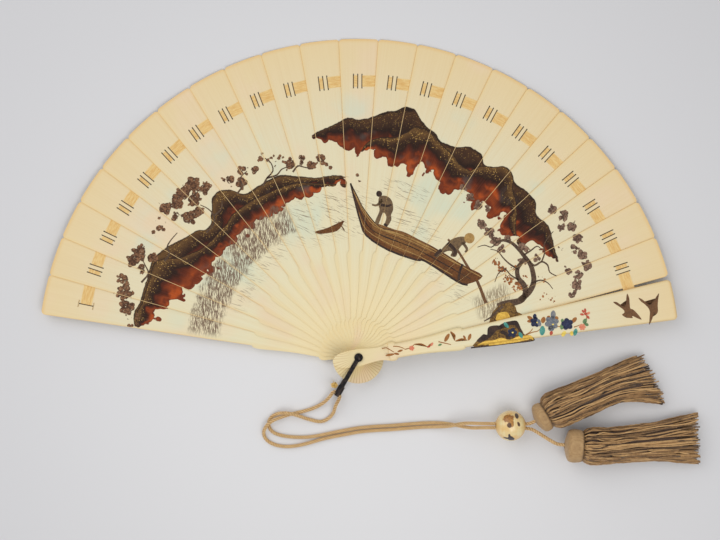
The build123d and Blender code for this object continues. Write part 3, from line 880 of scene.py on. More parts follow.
class Lacquer(Enum):
    """Lacquers and inlays of the raised painting: base, fleck, fleck share, roughness, metal."""

    BOAT = (paint(112, 68, 30), paint(66, 40, 18), 0.6, 0.38, 0.0)
    THATCH = (paint(134, 92, 46), paint(88, 58, 28), 0.6, 0.42, 0.0)
    DARK = (paint(44, 32, 28), paint(92, 66, 48), 0.25, 0.3, 0.0)
    BARK = (paint(70, 52, 40), paint(116, 92, 68), 0.5, 0.4, 0.0)
    BROWN = (paint(118, 82, 50), paint(74, 50, 34), 0.45, 0.38, 0.0)
    CLOTH = (paint(120, 96, 66), paint(60, 46, 40), 0.5, 0.45, 0.0)
    STRAW = (paint(178, 142, 84), paint(134, 98, 52), 0.4, 0.5, 0.0)
    GOLD = (paint(228, 188, 84), paint(176, 128, 46), 0.45, 0.34, 0.25)
    ROCK = (paint(76, 54, 30), paint(164, 124, 56), 0.55, 0.36, 0.15)
    NAVY = (paint(30, 34, 58), paint(58, 68, 98), 0.4, 0.25, 0.0)
    SHELL = (paint(96, 104, 116), paint(150, 146, 140), 0.5, 0.22, 0.0)
    TEAL = (paint(58, 132, 122), paint(120, 184, 168), 0.4, 0.22, 0.0)
    GREEN = (paint(92, 122, 82), paint(134, 158, 108), 0.4, 0.3, 0.0)
    RUST = (paint(148, 92, 44), paint(186, 132, 70), 0.4, 0.35, 0.0)
    CORAL = (paint(214, 122, 92), paint(232, 164, 130), 0.4, 0.3, 0.0)
    RED = (paint(176, 72, 52), paint(210, 110, 84), 0.3, 0.3, 0.0)
    YELLOW = (paint(238, 212, 104), paint(222, 184, 74), 0.4, 0.3, 0.0)


def lacquer(kind: Lacquer) -> bpy.types.Material:
    """Makes one lacquer with its flecks.

    Args:
        kind: Which lacquer.

    Returns:
        The material.
    """
    material, g, shader = new_material(f"lacquer_{kind.name.lower()}")
    base, fleck, share, rough, metal = kind.value
    place = g.object_place()
    marks = g.smooth(g.noise(place, 750.0, 3.0, 0.65), 0.42, 0.62)
    color = g.mix(g.product(marks, share), base, fleck)
    clouds = g.smooth(g.noise(place, 140.0, 2.0), 0.45, 0.7)
    color = g.mix(g.product(clouds, 0.35), color, fleck)
    g.feed_all(shader, {
        "Base Color": color, "Roughness": g.smooth(marks, 0.0, 1.0, rough, rough + 0.12),
        "Normal": g.bump(marks, 0.00006, 0.5), "Metallic": metal,
        "Coat Weight": 0.04, "Coat Roughness": 0.2, "Specular IOR Level": 0.22,
    })
    return material


# ---------------------------------------------------------------------------------------
# Modelling helpers


def deselect() -> None:
    """Leaves edit mode and deselects every object."""
    if bpy.context.mode != "OBJECT":
        bpy.ops.object.mode_set(mode="OBJECT")
    bpy.ops.object.select_all(action="DESELECT")


def catmull_rom(a: Vector | float, b: Vector | float, c: Vector | float, d: Vector | float,
                t: float) -> Vector | float:
    """Returns the value at a share t of the run from b to c, with a before it and d after."""
    return 0.5 * (2 * b + (c - a) * t + (2 * a - 5 * b + 4 * c - d) * t * t
                  + (3 * b - a - 3 * c + d) * t ** 3)


def smooth_line(points: Sequence[Point2], steps: int = 3, closed: bool = False) -> list[Vector]:
    """Rounds a drawn line.

    Args:
        points: Its corners.
        steps: Points put on each run.
        closed: Whether the line is a ring.

    Returns:
        Points on a Catmull-Rom line through the corners.
    """
    spots = [Vector(p) for p in points]
    count = len(spots)
    result: list[Vector] = []
    for i in range(count if closed else count - 1):
        if closed:
            a, b, c, d = (spots[(i + k) % count] for k in (-1, 0, 1, 2))
        else:
            b, c = spots[i], spots[i + 1]
            a = spots[i - 1] if i else b - (c - b)
            d = spots[i + 2] if i + 2 < count else c + (c - b)
        result += [catmull_rom(a, b, c, d, step / steps) for step in range(steps)]
    if not closed:
        result.append(spots[-1])
    return result


def brush(points: Sequence[Point2], start: float, end: float | None = None) -> list[Vector]:
    """Outline of a tapering brush stroke.

    Args:
        points: Corners of its middle line.
        start: Width where it starts.
        end: Width where it ends, or None for the same.

    Returns:
        The closed outline.
    """
    line = smooth_line(points)
    last = end if end is not None else start
    left, right = [], []
    for i, spot in enumerate(line):
        ahead, behind = line[min(i + 1, len(line) - 1)], line[max(i - 1, 0)]
        along = (ahead - behind).normalized()
        half = (start + (last - start) * i / (len(line) - 1)) / 2
        side = Vector((-along.y, along.x)) * half
        left.append(spot + side)
        right.append(spot - side)
    return left + right[::-1]


def oval(centre: Point2, length: float, width: float, turn: float = 0.0) -> list[Vector]:
    """Outline of a leaf-like oval, pointed a little at both ends."""
    angle = math.radians(turn)
    ring = []
    for i in range(12):
        t = 2 * math.pi * i / 12
        x, y = math.cos(t) * length / 2, math.sin(t) * width / 2 * (0.75 + 0.25 * abs(math.sin(t)))
        ring.append(Vector((centre[0] + x * math.cos(angle) - y * math.sin(angle),
                            centre[1] + x * math.sin(angle) + y * math.cos(angle))))
    return ring


def blossom(centre: Point2, radius: float, petals: int = 5, turn: float = 0.0) -> list[Vector]:
    """Outline of a flower with rounded petals."""
    ring = []
    for i in range(petals * 6):
        t = 2 * math.pi * i / (petals * 6)
        reach = radius * (0.72 + 0.28 * abs(math.cos(petals * t / 2)))
        ring.append(Vector((centre[0] + reach * math.cos(t + turn), centre[1] + reach * math.sin(t + turn))))
    return ring


def plates(name: str, outlines: Sequence[Sequence[Vector]], height: float) -> bpy.types.Object:
    """Makes flat plates from outlines, each a circle whose rim is moved to its outline.

    Args:
        name: Name of the piece.
        outlines: Closed outlines in the fan's plane, in millimetres.
        height: Height of the plates.

    Returns:
        The piece, not yet thick.
    """
    deselect()
    bpy.ops.mesh.primitive_circle_add(vertices=len(outlines[0]), radius=1, fill_type="NGON")
    piece = bpy.context.object
    piece.name = name
    bpy.ops.object.mode_set(mode="EDIT")
    for outline in outlines[1:]:
        bpy.ops.mesh.primitive_circle_add(vertices=len(outline), radius=1, fill_type="NGON")
    plan = bmesh.from_edit_mesh(piece.data)
    plan.verts.ensure_lookup_table()
    spots = [spot for outline in outlines for spot in outline]
    for vertex, spot in zip(plan.verts, spots):
        vertex.co = (spot[0], spot[1], height)
    bmesh.update_edit_mesh(piece.data)
    return piece


def cut(point: Vector, normal: Vector) -> None:
    """Cuts the mesh in edit mode along a line of the plane and keeps the side behind the normal."""
    bpy.ops.mesh.select_all(action="SELECT")
    bpy.ops.mesh.bisect(plane_co=(point.x, point.y, 0), plane_no=(normal.x, normal.y, 0), clear_outer=True)


def thicken(thick: float) -> None:
    """Gives the plates in edit mode their thickness, with faces pointing out, and leaves edit mode."""
    bpy.ops.mesh.select_all(action="SELECT")
    bpy.ops.mesh.extrude_region_move(TRANSFORM_OT_translate={"value": (0, 0, thick)})
    bpy.ops.mesh.select_all(action="SELECT")
    bpy.ops.mesh.normals_make_consistent(inside=False)
    deselect()


def wrapped_grid(name: str, columns: int, rows: int, shape: Callable[[float, float], Vector]) -> bpy.types.Object:
    """Wraps a grid round a closed form.

    Args:
        name: Name of the piece.
        columns: Cells round it.
        rows: Cells along it.
        shape: Gives the point at a share round and a share along, each from 0 to 1.

    Returns:
        The piece, its seam and poles merged and its faces pointing out.
    """
    deselect()
    bpy.ops.mesh.primitive_grid_add(x_subdivisions=columns, y_subdivisions=rows, size=1)
    piece = bpy.context.object
    piece.name = name
    for vertex in piece.data.vertices:
        vertex.co = shape(vertex.co.x + 0.5, vertex.co.y + 0.5)
    bpy.ops.object.mode_set(mode="EDIT")
    bpy.ops.mesh.select_all(action="SELECT")
    bpy.ops.mesh.remove_doubles(threshold=2e-6)
    bpy.ops.mesh.normals_make_consistent(inside=False)
    bpy.ops.object.mode_set(mode="OBJECT")
    bpy.ops.object.shade_smooth()
    return piece


def finish(piece: bpy.types.Object, material: bpy.types.Material, body: str) -> None:
    """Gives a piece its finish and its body."""
    piece.data.materials.clear()
    piece.data.materials.append(material)
    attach(piece, body)


def cross_directions(line: Sequence[Vector]) -> Iterable[tuple[Vector, Vector, Vector]]:
    """Goes along a line without twisting.

    Args:
        line: Points of the line.

    Returns:
        Each point, with two directions across the line there.
    """
    side = Vector((0, 0, 1))
    last = len(line) - 1
    for i, spot in enumerate(line):
        along = (line[min(i + 1, last)] - line[max(i - 1, 0)]).normalized()
        side = (side - along * side.dot(along)).normalized()
        yield spot, side, along.cross(side)


def thread_mesh(name: str, lines: Sequence[Sequence[Vector]], radius: float, sides: int,
                tones: Sequence[float]) -> bpy.types.Object:
    """Makes many thin threads as one mesh, each a tube along its own line.

    Args:
        name: Name of the piece.
        lines: Middle line of each thread, in metres.
        radius: Radius of a thread in metres.
        sides: Faces round a thread.
        tones: Tone of each thread, for its colour.

    Returns:
        The piece, with its tones as an attribute.
    """
    spots: list[Vector] = []
    faces: list[tuple[int, ...]] = []
    values: list[float] = []
    for line, tone in zip(lines, tones):
        start = len(spots)
        last = len(line) - 1
        for spot, side, other in cross_directions(line):
            for k in range(sides):
                t = 2 * math.pi * k / sides
                spots.append(spot + (side * math.cos(t) + other * math.sin(t)) * radius)
                values.append(tone)
        for i in range(last):
            for k in range(sides):
                a, b = start + i * sides + k, start + i * sides + (k + 1) % sides
                faces.append((a, b, b + sides, a + sides))
        faces.append(tuple(start + k for k in range(sides))[::-1])
        faces.append(tuple(start + last * sides + k for k in range(sides)))
    mesh = bpy.data.meshes.new(name)
    mesh.from_pydata(spots, [], faces)
    mesh.attributes.new("tone", "FLOAT", "POINT").data.foreach_set("value", values)
    mesh.polygons.foreach_set("use_smooth", [True] * len(mesh.polygons))
    piece = bpy.data.objects.new(name, mesh)
    bpy.context.collection.objects.link(piece)
    return piece


def add_tone(piece: bpy.types.Object, tone: Callable[[Vector], float]) -> None:
    """Gives each point of a piece its tone."""
    attribute = piece.data.attributes.new("tone", "FLOAT", "POINT")
    attribute.data.foreach_set("value", [tone(v.co) for v in piece.data.vertices])


# ---------------------------------------------------------------------------------------
# Blades, ribbon and metal


@dataclass
class Blades:
    """Guards and leaves, with the ribbon through them."""

    plane: FanPlane
    plan: BladePlan

    def dress(self) -> None:
        """Gives every blade and every stretch of ribbon its finish."""
        blade_finish = BladeFinish(self.plane, self.plan)
        ribbon_finish = RibbonFinish()
        for number in range(self.plan.leaf_count + 2):
            name = self.plan.body(number)
            self.assign(name, blade_finish.make(number))
            if number <= self.plan.leaf_count:
                ribbon = f"ribbon_{number:02d}"
                slits = SLITS if number else REAR_GROOVE
                self.assign(ribbon, ribbon_finish.make(self.plane, self.plan.angle(number), f"silk_{ribbon}", slits))
        log.info("blades and ribbon dressed")

    @staticmethod
    def assign(name: str, material: bpy.types.Material) -> None:
        """Replaces a node's materials."""
        node = frame["nodes"][name]
        node.data.materials.clear()
        node.data.materials.append(material)


@dataclass
class Fittings:
    """Rivet, washers, bail and its collar."""

    names: tuple[str, ...] = ("rivet", "rear_washer", "front_washer", "bail", "bail_collar")

    def dress(self) -> None:
        """Gives the metal its finish."""
        material = dark_metal()
        for name in self.names:
            Blades.assign(name, material)
        log.info("fittings dressed")


# ---------------------------------------------------------------------------------------
# Cord, bead and tassels


def pivot_place(plane: FanPlane) -> Vector:
    """Returns the point that the cord's routes are given from: the rivet's foot on the table."""
    return Vector((plane.origin.x, plane.origin.y, 0))


@dataclass
class Strand:
    """One strand of the cord: its route in millimetres from the rivet, and its tassel."""

    name: str
    route: list[Point3]
    length: float
    head: str
    diameter: float = 2.8
    plies: int = 3
    lay: float = 6.3
    ply_share: float = 0.245
    step: float = 0.36

    def centreline(self, foot: Vector) -> list[Vector]:
        """Reads the smooth line of the route.

        Args:
            foot: Where the route is given from.

        Returns:
            Points along the strand, in metres.
        """
        curve = bpy.data.curves.new(f"{self.name}_route", "CURVE")
        curve.dimensions = "3D"
        curve.resolution_u = 24
        spline = curve.splines.new("NURBS")
        spline.points.add(len(self.route) - 1)
        for point, spot in zip(spline.points, self.route):
            point.co = (*(foot + Vector(spot) * MM), 1)
        spline.order_u = 3
        spline.use_endpoint_u = True
        holder = bpy.data.objects.new(f"{self.name}_route", curve)
        bpy.context.collection.objects.link(holder)
        bpy.context.view_layer.update()
        mesh = bpy.data.meshes.new_from_object(holder)
        line = [v.co.copy() for v in mesh.vertices]
        bpy.data.objects.remove(holder)
        bpy.data.meshes.remove(mesh)
        return line

    def build(self, foot: Vector, material: bpy.types.Material) -> bpy.types.Object:
        """Builds the strand from twisted plies along its line, darker between the plies as painted shade.

        Args:
            foot: Where the route is given from.
            material: Its silk.

        Returns:
            The strand.
        """
        line = self.centreline(foot)
        even = evenly(line, self.step * MM)
        ply = self.diameter * self.ply_share * MM
        lines: list[list[Vector]] = [[] for _ in range(self.plies)]
        travelled = 0.0
        for i, (spot, side, other) in enumerate(cross_directions(even)):
            if i:
                travelled += (spot - even[i - 1]).length
            for k in range(self.plies):
                t = 2 * math.pi * (travelled / (self.lay * MM) + k / self.plies)
                lines[k].append(spot + (side * math.cos(t) + other * math.sin(t)) * (self.diameter / 2 * MM - ply))
        piece = thread_mesh(self.name, lines, ply, PLY_SIDES, [0.5] * self.plies)
        # Painted shade: each ply's tone runs from dark where it faces into the cord to light on the outside.
        deep, high = self.diameter * 0.3 * MM, self.diameter * 0.49 * MM
        values = []
        for i, vertex in enumerate(piece.data.vertices):
            out = (vertex.co - even[(i // PLY_SIDES) % len(even)]).length
            values.append(0.85 * max(0.0, min(1.0, (out - deep) / (high - deep))))
        piece.data.attributes["tone"].data.foreach_set("value", values)
        finish(piece, material, "bail")
        tuple(line[0])
        [tuple(p) for p in line]
        return piece


def evenly(line: Sequence[Vector], step: float) -> list[Vector]:
    """Points a step apart along a line."""
    result = [line[0].copy()]
    left = step
    for a, b in zip(line, line[1:]):
        run = (b - a).length
        done = 0.0
        while run - done >= left:
            done += left
            result.append(a.lerp(b, done / run))
            left = step
        left -= run - done
    result.append(line[-1].copy())
    return result


STRAND_A: list[Point3] = [
    (-15.1, -32.85, 5.6), (-12.17, -27.79, 5.6), (-17.97, -24.44, 5.6), (-21.5, -30, 5.1),
    (-27.4, -35.2, 2.4), (-34.4, -38.6, 1.45), (-42, -40.8, 1.45), (-50, -42.4, 1.45),
    (-57.6, -44.8, 2.6), (-64, -47, 5.8), (-69.3, -51.2, 5.8), (-71.6, -57.2, 2.4),
    (-68.6, -62.9, 1.45), (-62, -66.2, 1.45), (-53.6, -67.3, 1.45), (-45, -66.4, 1.45),
    (-36.4, -64.3, 1.45), (-27.6, -61.6, 1.45), (-18.6, -59.6, 1.45), (-9.2, -57.9, 1.45),
    (1.2, -55.9, 1.45), (13.2, -54.9, 1.45), (25.6, -54.3, 1.45), (38, -53.2, 1.45),
    (50, -52.3, 1.45), (60.6, -52.1, 2.4), (69.4, -51.2, 7), (76.6, -48.9, 11),
    (83.6, -48.4, 12), (91.6, -48.9, 11.5), (125.2, -48.9, 11.5), (129.4, -49.1, 11.5),
    (140.8, -42.55, 11.5),
]
STRAND_B: list[Point3] = [
    (-15.1, -32.85, 5.6), (-17.1, -36.31, 5.6), (-18, -41, 3.2), (-21.4, -45.6, 1.45),
    (-27.2, -48.7, 1.45), (-34.6, -47.3, 1.45), (-41.6, -45, 3), (-47.6, -42.6, 6.2),
    (-53.6, -41.2, 6.2), (-60.4, -41.8, 2.6), (-66.2, -45.2, 1.45), (-67.9, -51, 1.45),
    (-64.6, -56.4, 1.45), (-57.4, -59, 1.45), (-48.6, -60, 1.45), (-39.6, -60.2, 1.45),
    (-30, -59, 1.45), (-19.4, -56.7, 1.45), (-9.6, -54.8, 1.45), (1, -52.9, 1.45),
    (13, -51.9, 1.45), (25.4, -51.3, 1.45), (37.8, -50.2, 1.45), (49.6, -49.3, 1.45),
    (60, -49.1, 1.45), (70.4, -50, 2.2), (79.6, -51.8, 7), (86.6, -52.2, 11.2),
    (93.4, -51.9, 11.5), (127.8, -51.9, 11.5), (133.6, -55, 10.9), (141.2, -59.9, 10.6),
    (146.8, -63.2, 11.6), (151.2, -64.8, 12.7), (167, -65.66, 12.7),
]

Section = tuple[float, float, float, float, float]


@dataclass
class Tassel:
    """One tassel: a wound head and a skirt of loose threads."""

    name: str
    rim: Point3
    turn: float
    radius: float
    length: float
    sections: list[Section]
    seed: int
    slant: float = 0.0
    threads: int = 185
    dome: float = 3.6
    hole: float = 1.6
    thread: float = 0.52
    head_cells: tuple[int, int] = (336, 40)
    core_cells: tuple[int, int] = (72, 36)
    thread_steps: int = 44

    def head_point(self, round_share: float, along_share: float) -> Vector:
        """Point on the head's skin, in its own frame with its axis along x.

        Args:
            round_share: Share of the way round.
            along_share: Share of the way from the hole, over the dome and down the side.

        Returns:
            The point, in millimetres.
        """
        profile = [(-self.dome + 1.6, 0.4), (-self.dome + 0.1, self.hole + 0.2), (-self.dome - 0.15, self.hole + 1.0),
                   (-self.dome + 0.5, self.radius * 0.45), (-self.dome * 0.55, self.radius * 0.75),
                   (-self.dome * 0.12, self.radius * 0.95), (self.length * 0.3, self.radius * 1.02),
                   (self.length * 0.75, self.radius * 0.99), (self.length - 0.5, self.radius * 0.94),
                   (self.length, self.radius * 0.84), (self.length + 0.1, 0.4)]
        spots = smooth_line(profile, 4)
        place = along_share * (len(spots) - 1)
        i = min(int(place), len(spots) - 2)
        x, r = spots[i].lerp(spots[i + 1], place - i)
        t = 2 * math.pi * round_share
        ridge = 0.09 * math.cos(56 * t + 3 * math.sin(2 * t)) * min(1.0, max(0.0, (r - self.hole) / 3))
        r += ridge
        return Vector((x, r * math.cos(t), r * math.sin(t)))

    def placing(self, foot: Vector) -> Matrix:
        """Returns the placing of the head's own frame."""
        return (Matrix.Translation(foot + Vector(self.rim) * MM)
                @ Matrix.Rotation(math.radians(self.turn), 4, "Z") @ Matrix.Scale(MM, 4))

    def build_head(self, foot: Vector, material: bpy.types.Material) -> bpy.types.Object:
        """Builds the wound head."""
        piece = wrapped_grid(f"{self.name}_wound_head", *self.head_cells, self.head_point)
        piece.data.transform(self.placing(foot))
        centre = foot + Vector(self.rim) * MM
        axis = Vector((math.cos(math.radians(self.turn)), math.sin(math.radians(self.turn)), 0))

        def tone(spot: Vector) -> float:
            """Painted shade: dark in the hole and under the back rim, light between."""
            along = (spot - centre).dot(axis) / MM
            out = ((spot - centre) - axis * along * MM).length / MM
            hole = min(1.0, max(0.0, (out - self.hole) / 1.8))
            back = min(1.0, max(0.0, (self.length - along) / 1.4))
            return 0.08 + 0.5 * hole * back + 0.06 * math.sin(spot.z * 5200)

        add_tone(piece, tone)
        finish(piece, material, "bail")
        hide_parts(f"{self.name}_head")
        return piece

    def frame_at(self, share: float, foot: Vector) -> tuple[Vector, Vector, float, float]:
        """Middle, sideways direction and half sizes of the skirt at a share of its length."""
        place = max(share, 0.0) * (len(self.sections) - 1)
        i = min(int(place), len(self.sections) - 2)
        t = place - i
        ring = [self.sections[min(max(i + k, 0), len(self.sections) - 1)] for k in (-1, 0, 1, 2)]
        x, y, turn, half_width, half_height = (catmull_rom(*corners, t) for corners in zip(*ring))
        angle = math.radians(turn)
        middle = foot + Vector((x, y, half_height + 0.3)) * MM
        return middle, Vector((-math.sin(angle), math.cos(angle), 0)), half_width, half_height

    @staticmethod
    def outward(across: Vector, half_width: float, half_height: float, angle: float) -> Vector:
        """Offset from the skirt's middle to its outside, in one direction round it."""
        return across * half_width * math.cos(angle) + Vector((0, 0, half_height)) * math.sin(angle)

    def thread_line(self, foot: Vector, chance: random.Random) -> list[Vector]:
        """Middle line of one thread from the head to the loose end."""
        depth = 1.0 if chance.random() < 0.68 else chance.uniform(0.6, 0.97)
        around = chance.uniform(0, 2 * math.pi)
        drift = chance.gauss(0, 0.13) if chance.random() < 0.88 else chance.gauss(0, 0.5)
        waves = [(chance.uniform(0.3, 1.5), chance.uniform(0.8, 3.6), chance.uniform(0, 6.3)) for _ in range(3)]
        end = chance.uniform(0.94, 1.0) if chance.random() < 0.85 else chance.uniform(0.86, 0.96)
        end *= 1 - self.slant * (1 + math.cos(around)) / 2
        line = []
        for i in range(self.thread_steps + 1):
            share = (i / self.thread_steps) ** 1.15 * end
            middle, across, half_width, half_height = self.frame_at(share, foot)
            fade = min(1.0, share * 3)
            angle = around + drift * share + 0.03 * sum(a * math.sin(w * share * 6.28 + p) for a, w, p in waves) * fade
            inner = 1 - self.thread / min(half_width, half_height)
            ring = depth * inner - 0.13 * fade * abs(math.sin(waves[0][1] * share * 5 + waves[0][2])) * (1.6 - depth)
            spot = middle + self.outward(across, half_width, half_height, angle) * ring * MM
            spot.z = max(spot.z, (self.thread + 0.1) * MM)
            line.append(spot)
        return line

    def build_skirt(self, foot: Vector, thread_silk: bpy.types.Material, shaded_core_silk: bpy.types.Material) -> None:
        """Builds the skirt's threads and the mass of threads inside them, dark as painted shade.

        Args:
            foot: Where the sections are given from.
            thread_silk: Finish of the outer threads.
            shaded_core_silk: Finish of the mass inside.
        """
        chance = random.Random(self.seed)
        lines = [self.thread_line(foot, chance) for _ in range(self.threads)]
        tones = [min(1.0, max(0.0, chance.gauss(0.52, 0.27))) for _ in lines]
        piece = thread_mesh(f"{self.name}_threads", lines, self.thread * MM, 5, tones)
        finish(piece, thread_silk, "bail")
        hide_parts(f"{self.name}_skirt")

        def core(round_share: float, along_share: float) -> Vector:
            """Point on the core's skin."""
            middle, across, half_width, half_height = self.frame_at(along_share * 0.93, foot)
            angle = 2 * math.pi * round_share
            close = 0.8 * min(1.0, 12 * along_share + 0.02, 12 * (1 - along_share) + 0.02)
            wavy = close * (1 + 0.06 * math.sin(17 * angle + 9 * along_share))
            return middle + self.outward(across, half_width, half_height, angle) * wavy * MM

        # The mass inside is coloured dark as painted shade.
        mass = wrapped_grid(f"{self.name}_core", *self.core_cells, core)
        add_tone(mass, lambda p: 0.4)
        finish(mass, shaded_core_silk, "bail")


@dataclass
class Knot:
    """Small frayed knot of yellow silk beside the bail."""

    centre: Point3 = (-17.6, -20.6, 5.2)
    radii: Point3 = (2.3, 1.9, 2.1)

    def build(self, foot: Vector, material: bpy.types.Material) -> None:
        """Builds the knot's turns and its frayed ends."""
        middle = foot + Vector(self.centre) * MM
        turns = []
        for i in range(161):
            t = 2 * math.pi * i / 160
            ring = 0.62 + 0.3 * math.cos(5 * t)
            turns.append(middle + Vector((math.cos(2 * t) * ring * self.radii[0],
                                          math.sin(2 * t) * ring * self.radii[1],
                                          0.62 * self.radii[2] * math.sin(5 * t))) * MM)
        chance = random.Random(5)
        lines, tones = [turns], [0.5]
        for _ in range(16):
            away = Vector((chance.uniform(-1, 0.5), chance.uniform(-0.2, 1.0), chance.uniform(-0.3, 0.7))).normalized()
            curl = Vector((chance.gauss(0, 0.5), chance.gauss(0, 0.5), -0.4))
            reach = chance.uniform(2.2, 4.2)
            lines.append([middle + (away * reach * k / 6 + curl * (k / 6) ** 2 * 1.4) * MM for k in range(7)])
            tones.append(chance.uniform(0.3, 1.0))
        piece = thread_mesh("cord_knot_turns", [turns], 0.62 * MM, PLY_SIDES, tones[:1])
        finish(piece, material, "bail")
        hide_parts("cord_knot")
        frayed = thread_mesh("cord_knot_fray", lines[1:], 0.13 * MM, 5, tones[1:])
        finish(frayed, material, "bail")


@dataclass
class CordSet:
    """The doubled cord with its bead, knot and tassels."""

    plane: FanPlane
    strands: list[Strand] = field(default_factory=lambda: [
        Strand("cord_a_silk", STRAND_A, 0.2995, "tassel_a_wound_head"),
        Strand("cord_b_silk", STRAND_B, 0.314, "tassel_b_wound_head"),
    ])
    tassels: list[Tassel] = field(default_factory=lambda: [
        Tassel("tassel_a", (136.0, -45.3, 11.5), 30.0, 11.0, 6.0, [
            (141.5, -42.1, 30.0, 10.2, 9.8), (147.0, -38.9, 29.0, 14.8, 12.3), (168.2, -30.4, 24.0, 14.6, 10.6),
            (195.0, -19.4, 20.0, 15.4, 8.4), (228.0, -13.4, 8.0, 24.4, 5.6)], 11, 0.1),
        Tassel("tassel_b", (158.2, -65.2, 12.7), -3.0, 12.2, 9.6, [
            (168.3, -65.7, -3.0, 11.2, 11.0), (174.0, -65.7, 0.0, 14.4, 12.4), (192.0, -65.2, 3.0, 14.4, 10.6),
            (220.0, -62.8, 5.0, 15.6, 8.2), (256.6, -60.4, 2.0, 21.6, 5.6)], 23),
    ])

    def build(self) -> None:
        """Builds the heads, the skirts, the strands, the knot and the bead's finish."""
        foot = pivot_place(self.plane)
        thread_silk, shaded_core_silk, head_silk = silk(Silk.TASSEL), silk(Silk.CORE), silk(Silk.HEAD)
        for tassel in self.tassels:
            tassel.build_head(foot, head_silk)
            tassel.build_skirt(foot, thread_silk, shaded_core_silk)
            log.info("%s built", tassel.name)
        cord_silk = silk(Silk.CORD)
        for strand, node in zip(self.strands, ("cord_a", "cord_b")):
            piece = strand.build(foot, cord_silk)
            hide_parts(node)
            log.info("%s built", strand.name)
        Knot().build(foot, silk(Silk.FRAY))
        low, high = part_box("bead")
        Blades.assign("bead", BeadFinish().make((low + high) / 2))
        log.info("bead dressed")


# ---------------------------------------------------------------------------------------
# Raised lacquer figures


@dataclass(frozen=True)
class Layer:
    """Outlines of one lacquer, and how high they stand over the blade."""

    name: str
    kind: Lacquer
    outlines: tuple
    thick: float


def ring(points: Sequence[Point2]) -> list[Vector]:
    """Smooth closed outline through points."""
    return smooth_line(points, 3, True)


